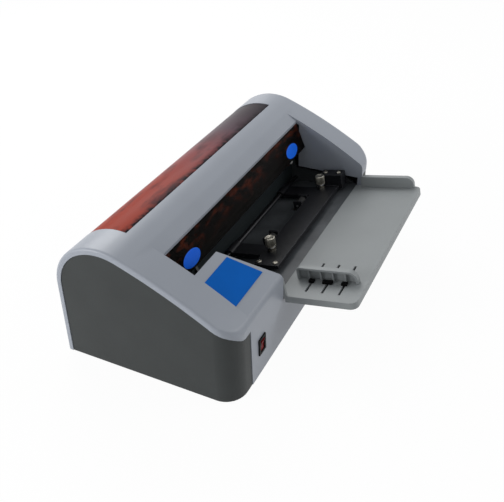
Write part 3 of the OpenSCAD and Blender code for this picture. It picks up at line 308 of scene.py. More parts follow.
# %% [markdown]
# ## Rubbed edges
# Paint wears first on edges that hands and tools pass. The Bevel node finds such edges: it
# rounds the surface's normal over a small distance, so the normal turns away from the true one
# only where an edge is near. The wear is where the two part.

# %% Rubbed edges
EDGE_SAMPLES = 4
EDGE_BEGINS, EDGE_FULL = 0.99, 0.86


def near_edge(nodes, links, reach_mm):
    """One on an edge and zero away from it, from the cosine between the rounded and the true
    normal."""
    rounded = nodes.new("ShaderNodeBevel")
    rounded.samples = EDGE_SAMPLES
    rounded.inputs["Radius"].default_value = reach_mm * MM
    true = nodes.new("ShaderNodeNewGeometry")
    dot = nodes.new("ShaderNodeVectorMath")
    dot.operation = "DOT_PRODUCT"
    links.new(rounded.outputs["Normal"], dot.inputs[0])
    links.new(true.outputs["Normal"], dot.inputs[1])
    return spread(nodes, links, dot.outputs["Value"], EDGE_BEGINS, EDGE_FULL, 0, 1)


print("wear begins where the normals part by", round(math.degrees(math.acos(EDGE_BEGINS))), "deg")

# %% [markdown]
# ## A finish
# Each finish is a Principled shader. Broad noise moves its colour a little, and fine noise moves
# its roughness and gives it a relief, at the real scale of moulding grain, paint or grinding.
# One function makes them all, so that the list of finishes further down stays a list.

# %% A finish
BROAD_DETAIL, FINE_DETAIL = 4, 2
WEAR_PATCH_MM = 6
WEAR_LOW, WEAR_HIGH, WEAR_MOST = 0.35, 0.6, 0.8
ROUGH_LEAST = 0.02
RELIEF_STRENGTH = 0.6


def finish(name, colour, rough, metal=0.0, mottle=0.06, mottle_mm=25, grain_mm=0.5,
           relief_mm=0.02, stretch=None, specular=0.3, rough_swing=0.08, worn=None, worn_mm=0.8):
    """A surface of one colour, with mottling of the given share and scale, and a grain whose
    relief stands relief_mm high. Stretch draws the grain out along an axis, as grinding does.
    Worn is the colour that shows where the edges are rubbed."""
    material = bpy.data.materials.new(name)
    material.use_nodes = True
    nodes, links = material.node_tree.nodes, material.node_tree.links
    shader = nodes["Principled BSDF"]
    shader.inputs["Metallic"].default_value = metal
    shader.inputs["Specular IOR Level"].default_value = specular
    where = nodes.new("ShaderNodeTexCoord").outputs["Object"]

    broad = noise(nodes, links, where, mottle_mm, BROAD_DETAIL)
    dark = tuple(v * (1 - mottle) for v in colour)
    light = tuple(min(v * (1 + mottle), 1) for v in colour)
    share = spread(nodes, links, broad, NOISE_LOW, NOISE_HIGH, 0, 1)
    paint = blend_colour(nodes, links, share, dark, light)
    if worn:
        patches = spread(nodes, links, noise(nodes, links, where, WEAR_PATCH_MM), WEAR_LOW,
                         WEAR_HIGH, 0, WEAR_MOST)
        rubbed = combined(nodes, links, "MULTIPLY", near_edge(nodes, links, worn_mm), patches)
        paint = blend_colour(nodes, links, rubbed, paint, worn)
    links.new(paint, shader.inputs["Base Color"])

    fine = noise(nodes, links, where, grain_mm, FINE_DETAIL, stretch)
    dull = spread(nodes, links, fine, NOISE_LOW, NOISE_HIGH, max(rough - rough_swing, ROUGH_LEAST),
                  min(rough + rough_swing, 1))
    links.new(dull, shader.inputs["Roughness"])
    bump = nodes.new("ShaderNodeBump")
    bump.inputs["Strength"].default_value = RELIEF_STRENGTH
    bump.inputs["Distance"].default_value = relief_mm * MM
    links.new(fine, bump.inputs["Height"])
    links.new(bump.outputs["Normal"], shader.inputs["Normal"])
    return material


def open_paint(material):
    """What a change of paint needs: the material's nodes, links and Base Color, and the
    surface's Object coordinates."""
    nodes, links = material.node_tree.nodes, material.node_tree.links
    where = nodes.new("ShaderNodeTexCoord").outputs["Object"]
    return nodes, links, nodes["Principled BSDF"].inputs["Base Color"], where


def axes(nodes, links, where):
    """The X, Y and Z of a place, as the outputs of one node."""
    split = nodes.new("ShaderNodeSeparateXYZ")
    links.new(where, split.inputs[0])
    return split.outputs


print("rubbed patches:", WEAR_PATCH_MM, "mm wide")

# %% [markdown]
# ## The window's acrylic, with painted light
# The window is red acrylic. The fade along it is painted light: an orange-red glow where the
# inside shines through at its left end, turning to a painted purple-grey reflection at the right.
# Dark patches lie over it, and a painted shadow runs ragged along its front edge. A colour ramp
# along the machine gives the fade, and two noises give the patches and the shadow, so it needs no
# picture.

# %% Window acrylic
# Painted light: the stops fade from the glow of the inside through the red acrylic at the left end
# to a painted purple-grey reflection at the right.
WINDOW_PAINTED_LIGHT_STOPS = ((0.0, linear(148, 56, 40)), (0.35, linear(138, 54, 44)),
                (0.55, linear(122, 60, 62)), (0.75, linear(76, 57, 66)),
                (1.0, linear(22, 24, 31)))
PATCH_COLOUR, PATCH_MM, PATCH_STRETCH = linear(44, 24, 32), 24, (0.7, 1.5, 1.5)
PATCH_SPAN = (0.48, 0.68, 0, 0.7)
# Painted shadow: a ragged dark band along the window's front edge, where the pane sits in its
# pocket.
FRONT_SHADE_COLOUR, FRONT_SHADE_MM = linear(24, 18, 24), 9
FRONT_SHADE_SPAN = (0.35, 0.6, 0.3, 1.3)
FRONT_SHADE_INNER, FRONT_SHADE_OUTER = 8 * MM, 1 * MM
ACRYLIC = {"relief_mm": 0.002, "specular": 0.03, "rough_swing": 0.03}


def window_acrylic_painted_light():
    """A colour ramp along the window paints light: the glow of the inside through its left end,
    fading to a painted reflection at its right. It is darkened in patches, and a painted shadow
    runs along its front edge. Each span takes a range of the noise into a range of the darker
    colour's share."""
    material = finish("window_acrylic_painted_light", (0, 0, 0), 0.32, **ACRYLIC)
    nodes, links, paint, where = open_paint(material)
    low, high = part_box("top_window")
    place = axes(nodes, links, where)
    # The ramp paints the light along the window, from the glow at the left to the reflection at
    # the right.
    painted_light_ramp = nodes.new("ShaderNodeValToRGB")
    links.new(spread(nodes, links, place["X"], low.x, high.x, 0, 1), painted_light_ramp.inputs["Fac"])
    bands = painted_light_ramp.color_ramp.elements
    while len(bands) < len(WINDOW_PAINTED_LIGHT_STOPS):
        bands.new(0.5)
    for band, (stop, colour) in zip(bands, WINDOW_PAINTED_LIGHT_STOPS):
        band.position, band.color = stop, (*colour, 1)

    patches = spread(nodes, links, noise(nodes, links, where, PATCH_MM, 5, PATCH_STRETCH),
                     *PATCH_SPAN)
    patched = blend_colour(nodes, links, patches, painted_light_ramp.outputs["Color"], PATCH_COLOUR)
    # The painted shadow along the front edge, broken up by noise.
    edge = spread(nodes, links, place["Y"], low.y + FRONT_SHADE_INNER, low.y + FRONT_SHADE_OUTER, 0, 1)
    shade_tatters = spread(nodes, links, noise(nodes, links, where, FRONT_SHADE_MM, 4), *FRONT_SHADE_SPAN)
    front_shade = combined(nodes, links, "MULTIPLY", edge, shade_tatters, clamp=True)
    links.new(blend_colour(nodes, links, front_shade, patched, FRONT_SHADE_COLOUR), paint)
    return material


print("window:", len(WINDOW_PAINTED_LIGHT_STOPS), "colours from left to right")

# %% [markdown]
# ## The guard's acrylic, with a painted glow
# The strip behind the opening keeps fingers from the blades. It is almost black, and it lets a
# little of the inside through. Its red-brown glow away from its long edges is painted light: the
# light that the red window lets onto the inside, seen through the strip. Alpha is enough for the
# see-through
# part: the strip is thin and flat, so real refraction would hardly show.

# %% Guard acrylic
# The second colour is painted light: the red-brown of light from the window on the inside, seen
# through the strip.
GUARD_DARK, GUARD_PAINTED_GLOW = linear(9, 7, 6), linear(88, 38, 22)
PAINTED_GLOW_MM, PAINTED_GLOW_STRETCH, PAINTED_GLOW_SPAN = 7, (0.4, 1, 1), (0.48, 0.76, 0, 1)
PAINTED_GLOW_MARGIN = 8 * MM
GUARD_ALPHA = 0.88


def guard_acrylic_painted_glow():
    """Dark acrylic, part see-through, with red-brown patches of painted glow, where light through
    the window falls on the inside.
    """
    material = finish("guard_acrylic_painted_glow", (0, 0, 0), 0.3, **ACRYLIC)
    nodes, links, paint, where = open_paint(material)
    low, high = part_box("guard_strip")
    # Painted glow: red-brown patches away from the strip's long edges.
    glow = spread(nodes, links, noise(nodes, links, where, PAINTED_GLOW_MM, 4, PAINTED_GLOW_STRETCH), *PAINTED_GLOW_SPAN)
    band = spread(nodes, links, axes(nodes, links, where)["Z"], low.z + PAINTED_GLOW_MARGIN,
                  high.z - PAINTED_GLOW_MARGIN, 0, 1)
    painted_glow_share = combined(nodes, links, "MULTIPLY", glow, band)
    links.new(blend_colour(nodes, links, painted_glow_share, GUARD_DARK, GUARD_PAINTED_GLOW), paint)
    nodes["Principled BSDF"].inputs["Alpha"].default_value = GUARD_ALPHA
    return material


print("guard alpha:", GUARD_ALPHA)

# %% [markdown]
# ## The control board
# The board and the parts soldered to it are one part of the frame, so one finish serves both. A
# step in height, at the board's top face, parts the green lacquer from the dark plastic above.

# %% Control board
BOARD_TOP = 16.1 * MM
BOARD_STEP = 0.1 * MM
BOARD_GREEN, PARTS_DARK = linear(20, 90, 48), linear(42, 44, 50)


def board_and_parts():
    """Green lacquer up to the top face of the board, and dark plastic on the parts above it."""
    material = finish("board_lacquer", BOARD_GREEN, 0.3)
    nodes, links, paint, where = open_paint(material)
    height = axes(nodes, links, where)["Z"]
    above = spread(nodes, links, height, BOARD_TOP, BOARD_TOP + BOARD_STEP, 0, 1)
    lacquer = paint.links[0].from_socket
    links.new(blend_colour(nodes, links, above, lacquer, PARTS_DARK), paint)
    return material


print("board top:", round(BOARD_TOP, 4), "m")

# %% [markdown]
# ## All the finishes
# The record of the frame gives each part a slot, such as the grey of the cover or nickel. Most
# slots take one call: a colour read from the machine, a roughness, and the grain of how the part
# is made. Black parts get a low specular level, because white surroundings would veil them. Four
# parts differ from their slot's other parts and have a finish of their own.

# %% Finishes by slot
WORN_GREY = linear(96, 98, 102)
FINISHES = {
    "cover_grey": finish("cover_plastic", linear(146, 151, 160), 0.4, mottle=0.025,
                         mottle_mm=60, grain_mm=0.7, relief_mm=0.012, specular=0.4),
    "panel_grey": finish("panel_plastic", linear(51, 54, 54), 0.5, mottle=0.06, mottle_mm=40,
                         grain_mm=0.8, relief_mm=0.05, specular=0.22),
    "window_red": window_acrylic_painted_light(),
    "guard_tint": guard_acrylic_painted_glow(),
    "sticker_blue": finish("blue_film", linear(22, 104, 232), 0.35, specular=0.12),
    "plate_blue": finish("plate_film", linear(4, 91, 178), 0.42, mottle=0.05, specular=0.06),
    "switch_black": finish("black_plastic", linear(10, 10, 11), 0.45, specular=0.05),
    "rocker_red": finish("rocker_plastic", linear(108, 9, 14), 0.34, specular=0.08),
    "pan_steel": finish("pan_powder", linear(104, 108, 112), 0.5, relief_mm=0.04),
    "foot_rubber": finish("foot_rubber", linear(34, 34, 34), 0.75, relief_mm=0.05),
    "tray_grey": finish("tray_plastic", linear(136, 140, 141), 0.42, mottle=0.03, mottle_mm=50,
                        grain_mm=0.7, relief_mm=0.012),
    "black_sheet": finish("black_sheet_paint", linear(36, 41, 43), 0.4, specular=0.2,
                          worn=WORN_GREY),
    "cast_black": finish("black_satin_paint", linear(24, 25, 28), 0.4, specular=0.16,
                         worn=WORN_GREY),
    "bright_steel": finish("ground_steel", linear(150, 151, 154), 0.36, metal=1,
                           stretch=(0.02, 1, 1), relief_mm=0.006),
    "blade_steel": finish("blade_steel", linear(205, 206, 208), 0.22, metal=1, relief_mm=0.004),
    "nickel": finish("nickel_plate", linear(150, 147, 138), 0.34, metal=1, relief_mm=0.01),
    "bronze": finish("sintered_bronze", linear(178, 140, 84), 0.45, metal=1),
    "roller_rubber": finish("roller_rubber", linear(30, 30, 30), 0.75, relief_mm=0.04),
    "ring_rubber": finish("ring_rubber", linear(36, 36, 37), 0.7, relief_mm=0.04),
    "gear_nylon": finish("gear_nylon", linear(222, 219, 206), 0.4),
    "motor_zinc": finish("motor_zinc", linear(160, 162, 165), 0.38, metal=0.8),
    "board_green": board_and_parts(),
    "copper": finish("copper_plate", linear(190, 116, 70), 0.3, metal=1, relief_mm=0.006),
    "tip_white": finish("white_plastic", linear(235, 235, 230), 0.35),
}
OWN_FINISH = {
    "hinge_rod": finish("blackened_rod", linear(58, 58, 60), 0.42, metal=1, relief_mm=0.008),
    "bed_plate": finish("bed_paint", linear(70, 73, 76), 0.36, mottle=0.3, mottle_mm=30,
                        grain_mm=1.2, stretch=(1, 0.03, 0.03), relief_mm=0.004, specular=0.25,
                        worn=linear(150, 150, 152)),
    "left_side_frame": finish("left_frame_paint", linear(58, 61, 63), 0.45),
    "right_side_frame": finish("right_frame_paint", linear(58, 61, 63), 0.45),
}
slot_of = {row["node"]: row["material_slot"] for row in frame["record"]["subparts"]}


def finish_of(node_name):
    """The finish of a CAD part: its own one, or else the one of its slot."""
    return OWN_FINISH.get(node_name) or FINISHES[slot_of[node_name]]


for name, node in NODES.items():
    node.data.materials.clear()
    node.data.materials.append(finish_of(name))
print("finishes:", len(FINISHES) + len(OWN_FINISH))

# %% [markdown]
# ## Grids of points
# A new piece is a grid of points worked out by a formula, with a face between each four
# neighbours. The points are rings, one after another, and each ring is closed. Whole arrays do
# the counting, so no loop runs over the points.

# %% Grids


def grid_faces(rows, columns):
    """Four-sided faces between the points of a grid whose last column meets its first."""
    row, column = np.meshgrid(np.arange(rows - 1), np.arange(columns), indexing="ij")
    here, beside = row * columns + column, row * columns + (column + 1) % columns
    quads = np.stack([here, beside, beside + columns, here + columns], axis=-1)
    return [tuple(q) for q in quads.reshape(-1, 4).tolist()]


def shell(rings):
    """A closed skin through rings of points, given as an array of rings, points and x, y, z. The
    first and last rings are filled in."""
    rows, columns = rings.shape[:2]
    caps = [tuple(range(columns)), tuple(range((rows - 1) * columns, rows * columns))]
    return rings.reshape(-1, 3), grid_faces(rows, columns) + caps


def joined(shells):
    """Several skins as one list of points and one of faces."""
    points, faces, count = [], [], 0
    for skin_points, skin_faces in shells:
        points.append(skin_points)
        faces += [tuple(i + count for i in face) for face in skin_faces]
        count += len(skin_points)
    return np.concatenate(points), faces


print("a grid of 3 rings of 4 points has", len(grid_faces(3, 4)), "faces")

# %% [markdown]
# ## From a grid to a piece
# Points that fall together, as at the pole of a turned part, are merged, and the faces are
# turned outwards. Each piece rides on a body of the frame, so that it moves when the body does,
# and takes its finish from a slot of the record.

# %% Pieces
SAME_PLACE, NO_LENGTH = 1e-6, 1e-7


def dressed(mesh, name, node_name, replace=True, slot=None):
    """An object of this mesh on the CAD node's body. It takes the node's place and finish, or
    only rides with it and takes the finish of a slot."""
    mesh.materials.append(FINISHES[slot] if slot else finish_of(node_name))
    piece = bpy.data.objects.new(name, mesh)
    scene.collection.objects.link(piece)
    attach(piece, NODES[node_name]["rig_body"])
    if replace:
        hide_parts(node_name)
    return piece


def add_piece(name, skins, node_name, replace=True, slot=None, sharp_deg=35):
    """A new piece from closed skins: merged, facing outwards, smooth but for its sharp edges."""
    points, faces = joined(skins)
    mesh = bpy.data.meshes.new(name)
    mesh.from_pydata(np.asarray(points).tolist(), [], faces)
    skin = bmesh.new()
    skin.from_mesh(mesh)
    bmesh.ops.remove_doubles(skin, verts=skin.verts, dist=SAME_PLACE)
    bmesh.ops.dissolve_degenerate(skin, edges=skin.edges, dist=NO_LENGTH)
    bmesh.ops.recalc_face_normals(skin, faces=skin.faces)
    skin.to_mesh(mesh)
    skin.free()
    mesh.shade_smooth()
    mesh.set_sharp_from_angle(angle=math.radians(sharp_deg))
    dressed(mesh, name, node_name, replace, slot)
    print(name, len(mesh.vertices), "points")


# %% [markdown]
# ## Softened mouldings and castings
# A moulded or painted part has no knife edges: the mould, the paint and wear leave a small round
# that catches the light. The CAD part is copied and its loose triangles are merged into one
# skin. Flat neighbours are joined into single faces, and a Bevel modifier rounds every edge
# that turns by more than a set angle. Weighted normals keep the flat faces flat.

# %% Softened copies
NEARBY = 2e-6
FLAT_TURN, SHARP_TURN = math.radians(0.5), math.radians(32)
ROUND_STEPS = 3
SOFTENED = {
    "top_cover": ("cover_moulding", 0.5), "left_end_panel": ("left_panel_moulding", 0.5),
    "right_end_panel": ("right_panel_moulding", 0.5), "feed_tray": ("tray_moulding", 0.7),
    "left_guide": ("left_guide_moulding", 0.35), "right_guide": ("right_guide_moulding", 0.35),
    "guide_clamps": ("clamp_set", 0.4), "press_frame": ("press_casting", 0.5),
    "blade_cover": ("blade_hood", 0.3), "gear_cover": ("gear_hood", 0.3),
    "switch_bezel": ("bezel_moulding", 0.4), "guard_strip": ("guard_pane", 0.3),
    "control_plate": ("plate_film_piece", 0.15), "power_inlet": ("inlet_moulding", 0.4),
    "base_pan": ("pan_pressing", 0.4), "motor_bracket": ("bracket_pressing", 0.3),
}


def softened(node_name, piece_name, radius_mm):
    """A copy of a CAD part as one skin, whose sharp edges get a round of the given radius."""
    source = NODES[node_name].data
    points = np.empty(len(source.vertices) * 3)
    source.vertices.foreach_get("co", points)
    corners = np.empty(len(source.loops), dtype=np.int32)
    source.loops.foreach_get("vertex_index", corners)
    mesh = bpy.data.meshes.new(piece_name)
    mesh.from_pydata(points.reshape(-1, 3).tolist(), [], corners.reshape(-1, 3).tolist())
    skin = bmesh.new()
    skin.from_mesh(mesh)
    bmesh.ops.remove_doubles(skin, verts=skin.verts, dist=NEARBY)
    bmesh.ops.dissolve_limit(skin, angle_limit=FLAT_TURN, verts=skin.verts, edges=skin.edges,
                             delimit={"NORMAL"})
    skin.to_mesh(mesh)
    skin.free()
    mesh.shade_smooth()
    piece = dressed(mesh, piece_name, node_name)
    bevel = piece.modifiers.new("round", "BEVEL")
    bevel.width = radius_mm * MM
    bevel.segments = ROUND_STEPS
    bevel.limit_method = "ANGLE"
    bevel.angle_limit = SHARP_TURN
    weighted = piece.modifiers.new("flat_faces", "WEIGHTED_NORMAL")
    weighted.keep_sharp = True
    print(piece_name, len(mesh.polygons), "faces")


for node_name, (piece_name, radius_mm) in SOFTENED.items():
    softened(node_name, piece_name, radius_mm)

# %% [markdown]
# ## A section carried along a line
# Some parts are one section all along: a closed loop of points, carried in a straight run. Near
# the two ends of its run the loop is drawn in by a quarter circle, which gives the part rounded
# ends without any modifier.

# %% Sections and runs
RUN_STEPS = 4


def drawn_in(loop, inset):
    """A closed loop moved inwards, against the normal at each of its points."""
    along = np.roll(loop, -1, 0) - np.roll(loop, 1, 0)
    along /= np.linalg.norm(along, axis=1, keepdims=True)
    turned = np.cross(loop, np.roll(loop, -1, 0)).sum()
    normal = np.stack([along[:, 1], -along[:, 0]], axis=1) * np.sign(turned)
    return loop - inset * normal


def run(loop, half, edge):
    """Rings of a loop carried from -half to half, as places along the run and the loop's two
    measures, with both ends drawn in by a quarter circle of radius edge."""
    t = np.linspace(0, np.pi / 2, RUN_STEPS)
    place = np.concatenate([-half + edge * (1 - np.cos(t)), half - edge * (1 - np.cos(t[::-1]))])
    inset = edge * (1 - np.sin(np.concatenate([t, t[::-1]])))
    rings = np.stack([drawn_in(loop, i) for i in inset])
    return np.concatenate([np.broadcast_to(place[:, None, None], rings[..., :1].shape), rings],
                          axis=-1)


square = np.array([[-1.0, -1], [1, -1], [1, 1], [-1, 1]])
print("rings in a run:", len(run(square, 5, 0.2)))

# %% [markdown]
# ## The window
# The window is a strip of acrylic bent to the crown's round, moulded with rounded rims. Its
# section is a thin bar laid round an arc: the bar's length becomes an angle and its thickness a
# radius. The section is then carried along the machine.

# %% Window
MID_Y = 64.4809
CROWN_Y, CROWN_Z = 142.5 - MID_Y, 91.0
PANE_OUT, PANE_IN = 61.7, 59.55
PANE_FRONT, PANE_REAR = math.radians(7.4), math.radians(-52)
PANE_HALF, PANE_EDGE = 166.0, 0.4
PANE_POINTS, PANE_INSET = 60, 1
RIM_RUN, RIM_DROP, RIM_SIDE = 0.3, 0.1, 0.5


def rim(end, inwards, half):
    """Five points round one end of the bar, from its outer face to its inner one."""
    step = inwards * RIM_RUN
    return [[end + step, half - RIM_DROP], [end, half - RIM_SIDE], [end, 0],
            [end, RIM_SIDE - half], [end + step, RIM_DROP - half]]


def window_pane():
    """The section at angle a and radius r stands at y = -r sin a and z = r cos a from the
    crown's centre, with the corners of the bar rounded."""
    middle, half = (PANE_OUT + PANE_IN) / 2, (PANE_OUT - PANE_IN) / 2
    front, rear = PANE_FRONT * middle, PANE_REAR * middle
    places = np.linspace(front - PANE_INSET, rear + PANE_INSET, PANE_POINTS)
    top = np.stack([places, np.full(PANE_POINTS, half)], axis=1)
    low = np.stack([places[::-1], np.full(PANE_POINTS, -half)], axis=1)
    bar = np.concatenate([top, rim(rear, 1, half), low, rim(front, -1, half)[::-1]])
    rings = run(bar, PANE_HALF, PANE_EDGE)
    x, angle, radius = rings[..., 0], rings[..., 1] / middle, rings[..., 2] + middle
    return shell(np.stack([x, CROWN_Y - radius * np.sin(angle),
                           CROWN_Z + radius * np.cos(angle)], axis=-1) * MM)


add_piece("window_pane", [window_pane()], "top_window")

# %% [markdown]
# ## Turned parts
# A knob, a sleeve or a pin is made on a lathe: a profile of radius and height, swept round an
# axis. A turner breaks every corner, so the corners of the profile are eased first. Knurls and
# flutes are pressed into the side afterwards, and take a little off the radius at each angle.

# %% Profiles and the lathe


def eased(corners, radius, steps=4, closed=False):
    """A line through corners, each cut back by the radius along both its sides and joined by a
    quadratic curve that leaves along one side and arrives along the other."""
    corner = np.asarray(corners, float)
    before, after = np.roll(corner, 1, 0) - corner, np.roll(corner, -1, 0) - corner
    reach_in = np.linalg.norm(before, axis=1, keepdims=True)
    reach_out = np.linalg.norm(after, axis=1, keepdims=True)
    start = corner + before / reach_in * np.minimum(radius, reach_in / 2)
    end = corner + after / reach_out * np.minimum(radius, reach_out / 2)
    if not closed:
        start[[0, -1]] = end[[0, -1]] = corner[[0, -1]]
    t = np.linspace(0, 1, steps)[None, :, None]
    line = ((1 - t) ** 2 * start[:, None] + 2 * t * (1 - t) * corner[:, None]
            + t ** 2 * end[:, None])
    return line.reshape(-1, corner.shape[1])


def lathe(profile, sides=48, ripple=None):
    """Rings of a turned part about the z axis, from pairs of radius and height. Ripple gives
    what each angle takes off each radius."""
    profile = np.asarray(profile, float)
    angle = np.linspace(0, 2 * np.pi, sides, endpoint=False)[None, :]
    radius = profile[:, :1] - (ripple(angle, profile) if ripple else 0 * angle)
    return np.stack([radius * np.cos(angle), radius * np.sin(angle),
                     np.broadcast_to(profile[:, 1:], radius.shape)], axis=-1)


def waves(count, angle):
    """From nought to one and back, count times round the axis: half of one less the cosine."""
    return 0.5 - 0.5 * np.cos(count * angle)


print("points on an eased corner:", len(eased([(0, 0), (1, 0), (1, 1)], 0.2)) // 3)

# %% [markdown]
# ## Thumb screws
# The press frame is set by two knurled screws of plated brass. The knob has a straight knurl
# between two chamfers and a skirt that is bored out for the spring. Everything on the press
# frame is measured along the sloping bed and square to it, so one function turns such places by
# the bed's slope.

# %% Thumb screws
BED_Z, BED_TILT = 60.5, math.radians(11)
SCREW_X = {"left": -18.0, "right": 139.0}
SCREW_Y = 46.0
KNOB = [(0, 4.5), (2.5, 4.5), (2.5, 19.7), (4.85, 19.7), (4.85, 15.4), (5.8, 15.4), (6.25, 16),
        (6.25, 25.2), (5.7, 26), (4.6, 26), (4.3, 25.7), (1.2, 25.7), (1, 25.3), (0, 25.2)]
KNOB_EASE, KNOB_SHARP_DEG = 0.25, 50
KNOB_RIDGES, KNOB_DEPTH = 36, 0.4
KNURL_FROM_R, KNURL_FROM_Z = 6.1, 15.9


def on_bed(points):
    """Places given in mm along the bed and square to it, as places in the frame, in metres."""
    x, y, z = np.moveaxis(np.asarray(points, float), -1, 0)
    sine, cosine = math.sin(BED_TILT), math.cos(BED_TILT)
    return np.stack([x, y * cosine + z * sine - MID_Y, BED_Z - y * sine + z * cosine],
                    axis=-1) * MM


def knurl(angle, profile):
    """Ridges on the knob's side: full depth between the chamfers, none on the other faces."""
    side = (profile[:, :1] > KNURL_FROM_R) & (profile[:, 1:] > KNURL_FROM_Z)
    return side * KNOB_DEPTH * waves(KNOB_RIDGES, angle)


for side, x in SCREW_X.items():
    profile = eased(KNOB, KNOB_EASE, steps=3)
    knob = lathe(profile, 6 * KNOB_RIDGES, knurl) + (x, SCREW_Y, 0)
    add_piece(side + "_knurled_screw", [shell(on_bed(knob))], side + "_thumb_screw",
              sharp_deg=KNOB_SHARP_DEG)

# %% [markdown]
# ## Springs
# A spring under each knob keeps the screw from working loose. It is a round wire wound along a
# helix. The helix is worked out first, then a circle is set square to it at every step.

# %% Springs
COIL_R, COIL_LOW, COIL_HIGH, COIL_TURNS = 4.0, 12.0, 19.0, 4
WIRE_R, WIRE_SIDES = 0.5, 12
STEPS_PER_TURN = 36


def circle(radius, sides=24):
    """A closed loop round the origin."""
    angle = np.linspace(0, 2 * np.pi, sides, endpoint=False)
    return radius * np.stack([np.cos(angle), np.sin(angle)], axis=1)


def spring(place):
    """A wire round a helix: its centre turns about the screw while it climbs evenly, and its
    section is a circle square to the climb."""
    turn = np.linspace(0, 2 * np.pi * COIL_TURNS, STEPS_PER_TURN * COIL_TURNS + 1)[:, None]
    climb = (COIL_HIGH - COIL_LOW) / (2 * np.pi * COIL_TURNS)
    cosine, sine, zero = np.cos(turn), np.sin(turn), 0 * turn
    centre = np.concatenate([COIL_R * cosine, COIL_R * sine, COIL_LOW + climb * turn], 1)
    outward = np.concatenate([cosine, sine, zero], 1)
    along = np.concatenate([-COIL_R * sine, COIL_R * cosine, climb + zero], 1)
    across = np.cross(along / np.linalg.norm(along, axis=1, keepdims=True), outward)
    wire = circle(WIRE_R, WIRE_SIDES)
    rings = (centre[:, None] + wire[None, :, :1] * outward[:, None]
             + wire[None, :, 1:] * across[:, None])
    return shell(on_bed(rings + (place, SCREW_Y, 0)))


add_piece("coil_springs", [spring(x) for x in SCREW_X.values()], "screw_springs")

# %% [markdown]
# ## The spring plunger
# Beside the blade cover sits a plunger with a copper-plated sleeve and a white nylon tip. Both
# are turned, so each is a profile swept round the plunger's axis, which points to the front.

# %% Plunger
PLUNGER_X, PLUNGER_REAR, PLUNGER_Z = 155.0, 47.02, 80.0
SLEEVE = [(0, 0), (4, 0), (4, 1.9), (5.6, 2), (6.3, 2.6), (6.3, 10.4), (5.8, 11), (3.6, 11),
          (3.4, 10.8), (0, 10.8)]
TIP = [(0, 10.6), (3, 10.6), (3, 14), (2.2, 15.4), (0, 16)]
SLEEVE_EASE, TIP_EASE = 0.3, 0.8
FLUTES, FLUTE_DEPTH, FLUTE_FROM_R = 24, 0.2, 6.2


def forward(rings):
    """Turned rings laid along the plunger's axis: their height becomes a way to the front."""
    x, y, z = np.moveaxis(rings, -1, 0)
    return np.stack([PLUNGER_X + x, PLUNGER_REAR - z, PLUNGER_Z + y], axis=-1) * MM


def fluted(angle, profile):
    """Shallow flutes on the widest part of the sleeve."""
    return (profile[:, :1] > FLUTE_FROM_R) * FLUTE_DEPTH * waves(FLUTES, angle)


sleeve = lathe(eased(SLEEVE, SLEEVE_EASE), 6 * FLUTES, fluted)
add_piece("plunger_sleeve", [shell(forward(sleeve))], "plunger_barrel")
nose = lathe(eased(TIP, TIP_EASE, steps=6))
add_piece("plunger_nose", [shell(forward(nose))], "plunger_tip")

# %% [markdown]
# ## The rocker
# The rocker's face is a shallow hollow that a finger finds. Its section is a parabola between two
# lips, narrower at the back, and it is carried across the switch with rounded ends and tipped
# about its axle.

# %% Rocker
SWITCH_X, SWITCH_Z, AXLE_Y = -146.0, 39.0, 2.5
ROCKER_TIP = math.radians(8)
ROCKER_HALF, ROCKER_EDGE = 4.1, 0.35
ROCKER_BACK = [(-1.2, 6.8), (3.7, 5.9), (4, 5.6), (4, -5.6), (3.7, -5.9), (-1.2, -6.8)]
FACE_POINTS, FACE_REACH, LIP_REACH = 25, 6.6, 6.8
FACE_DEPTH, FACE_FALL = -0.5, 1.1
AXLE_R, AXLE_HALF, AXLE_EDGE = 0.95, 5, 0.2


def rocker_section():
    """Depth behind the front plane against height: the face falls off with the square of the
    height, and the back is narrower."""
    height = np.linspace(-FACE_REACH, FACE_REACH, FACE_POINTS)
    face = np.stack([FACE_DEPTH - FACE_FALL * (height / LIP_REACH) ** 2, height], axis=1)
    return np.concatenate([face, ROCKER_BACK])


def tipped(points):
    """Places from the middle of the switch, tipped about the axle, in the frame in metres."""
    x, y, z = np.moveaxis(points, -1, 0)
    sine, cosine = math.sin(ROCKER_TIP), math.cos(ROCKER_TIP)
    y = y - AXLE_Y
    return np.stack([SWITCH_X + x, AXLE_Y - MID_Y + y * cosine - z * sine,
                     SWITCH_Z + y * sine + z * cosine], axis=-1) * MM


rocker = run(rocker_section(), ROCKER_HALF, ROCKER_EDGE)
axle = run(circle(AXLE_R), AXLE_HALF, AXLE_EDGE) + (0, AXLE_Y, 0)
add_piece("red_rocker", [shell(tipped(rocker)), shell(tipped(axle))], "rocker_button")

# %% [markdown]
# ## Oval stickers
# Each sticker is a film under a drop of clear resin, so it stands up in a shallow dome. Rings of
# one ellipse shrink to its middle while they rise by the square root of what is left.

# %% Ovals
GUARD_TOP_Y, GUARD_TOP_Z, GUARD_LEAN = 96.0 - MID_Y, 132.32, math.radians(22)
OVAL_X = (-129.0, 129.0)
OVAL_UP, OVAL_OUT = -23.5, 2.2
OVAL_WIDE, OVAL_HIGH, OVAL_RISE = 16.0, 8.5, 0.4
OVAL_SIDES, OVAL_RINGS, FIRST_ANGLE = 72, 14, 0.05


def on_guard(points):
    """Places given along the guard, up it and out of it, in mm, from the middle of its top."""
    x, up, out = np.moveaxis(points, -1, 0)
    sine, cosine = math.sin(GUARD_LEAN), math.cos(GUARD_LEAN)
    return np.stack([x, GUARD_TOP_Y - out * cosine + up * sine,
                     GUARD_TOP_Z + out * sine + up * cosine], axis=-1) * MM


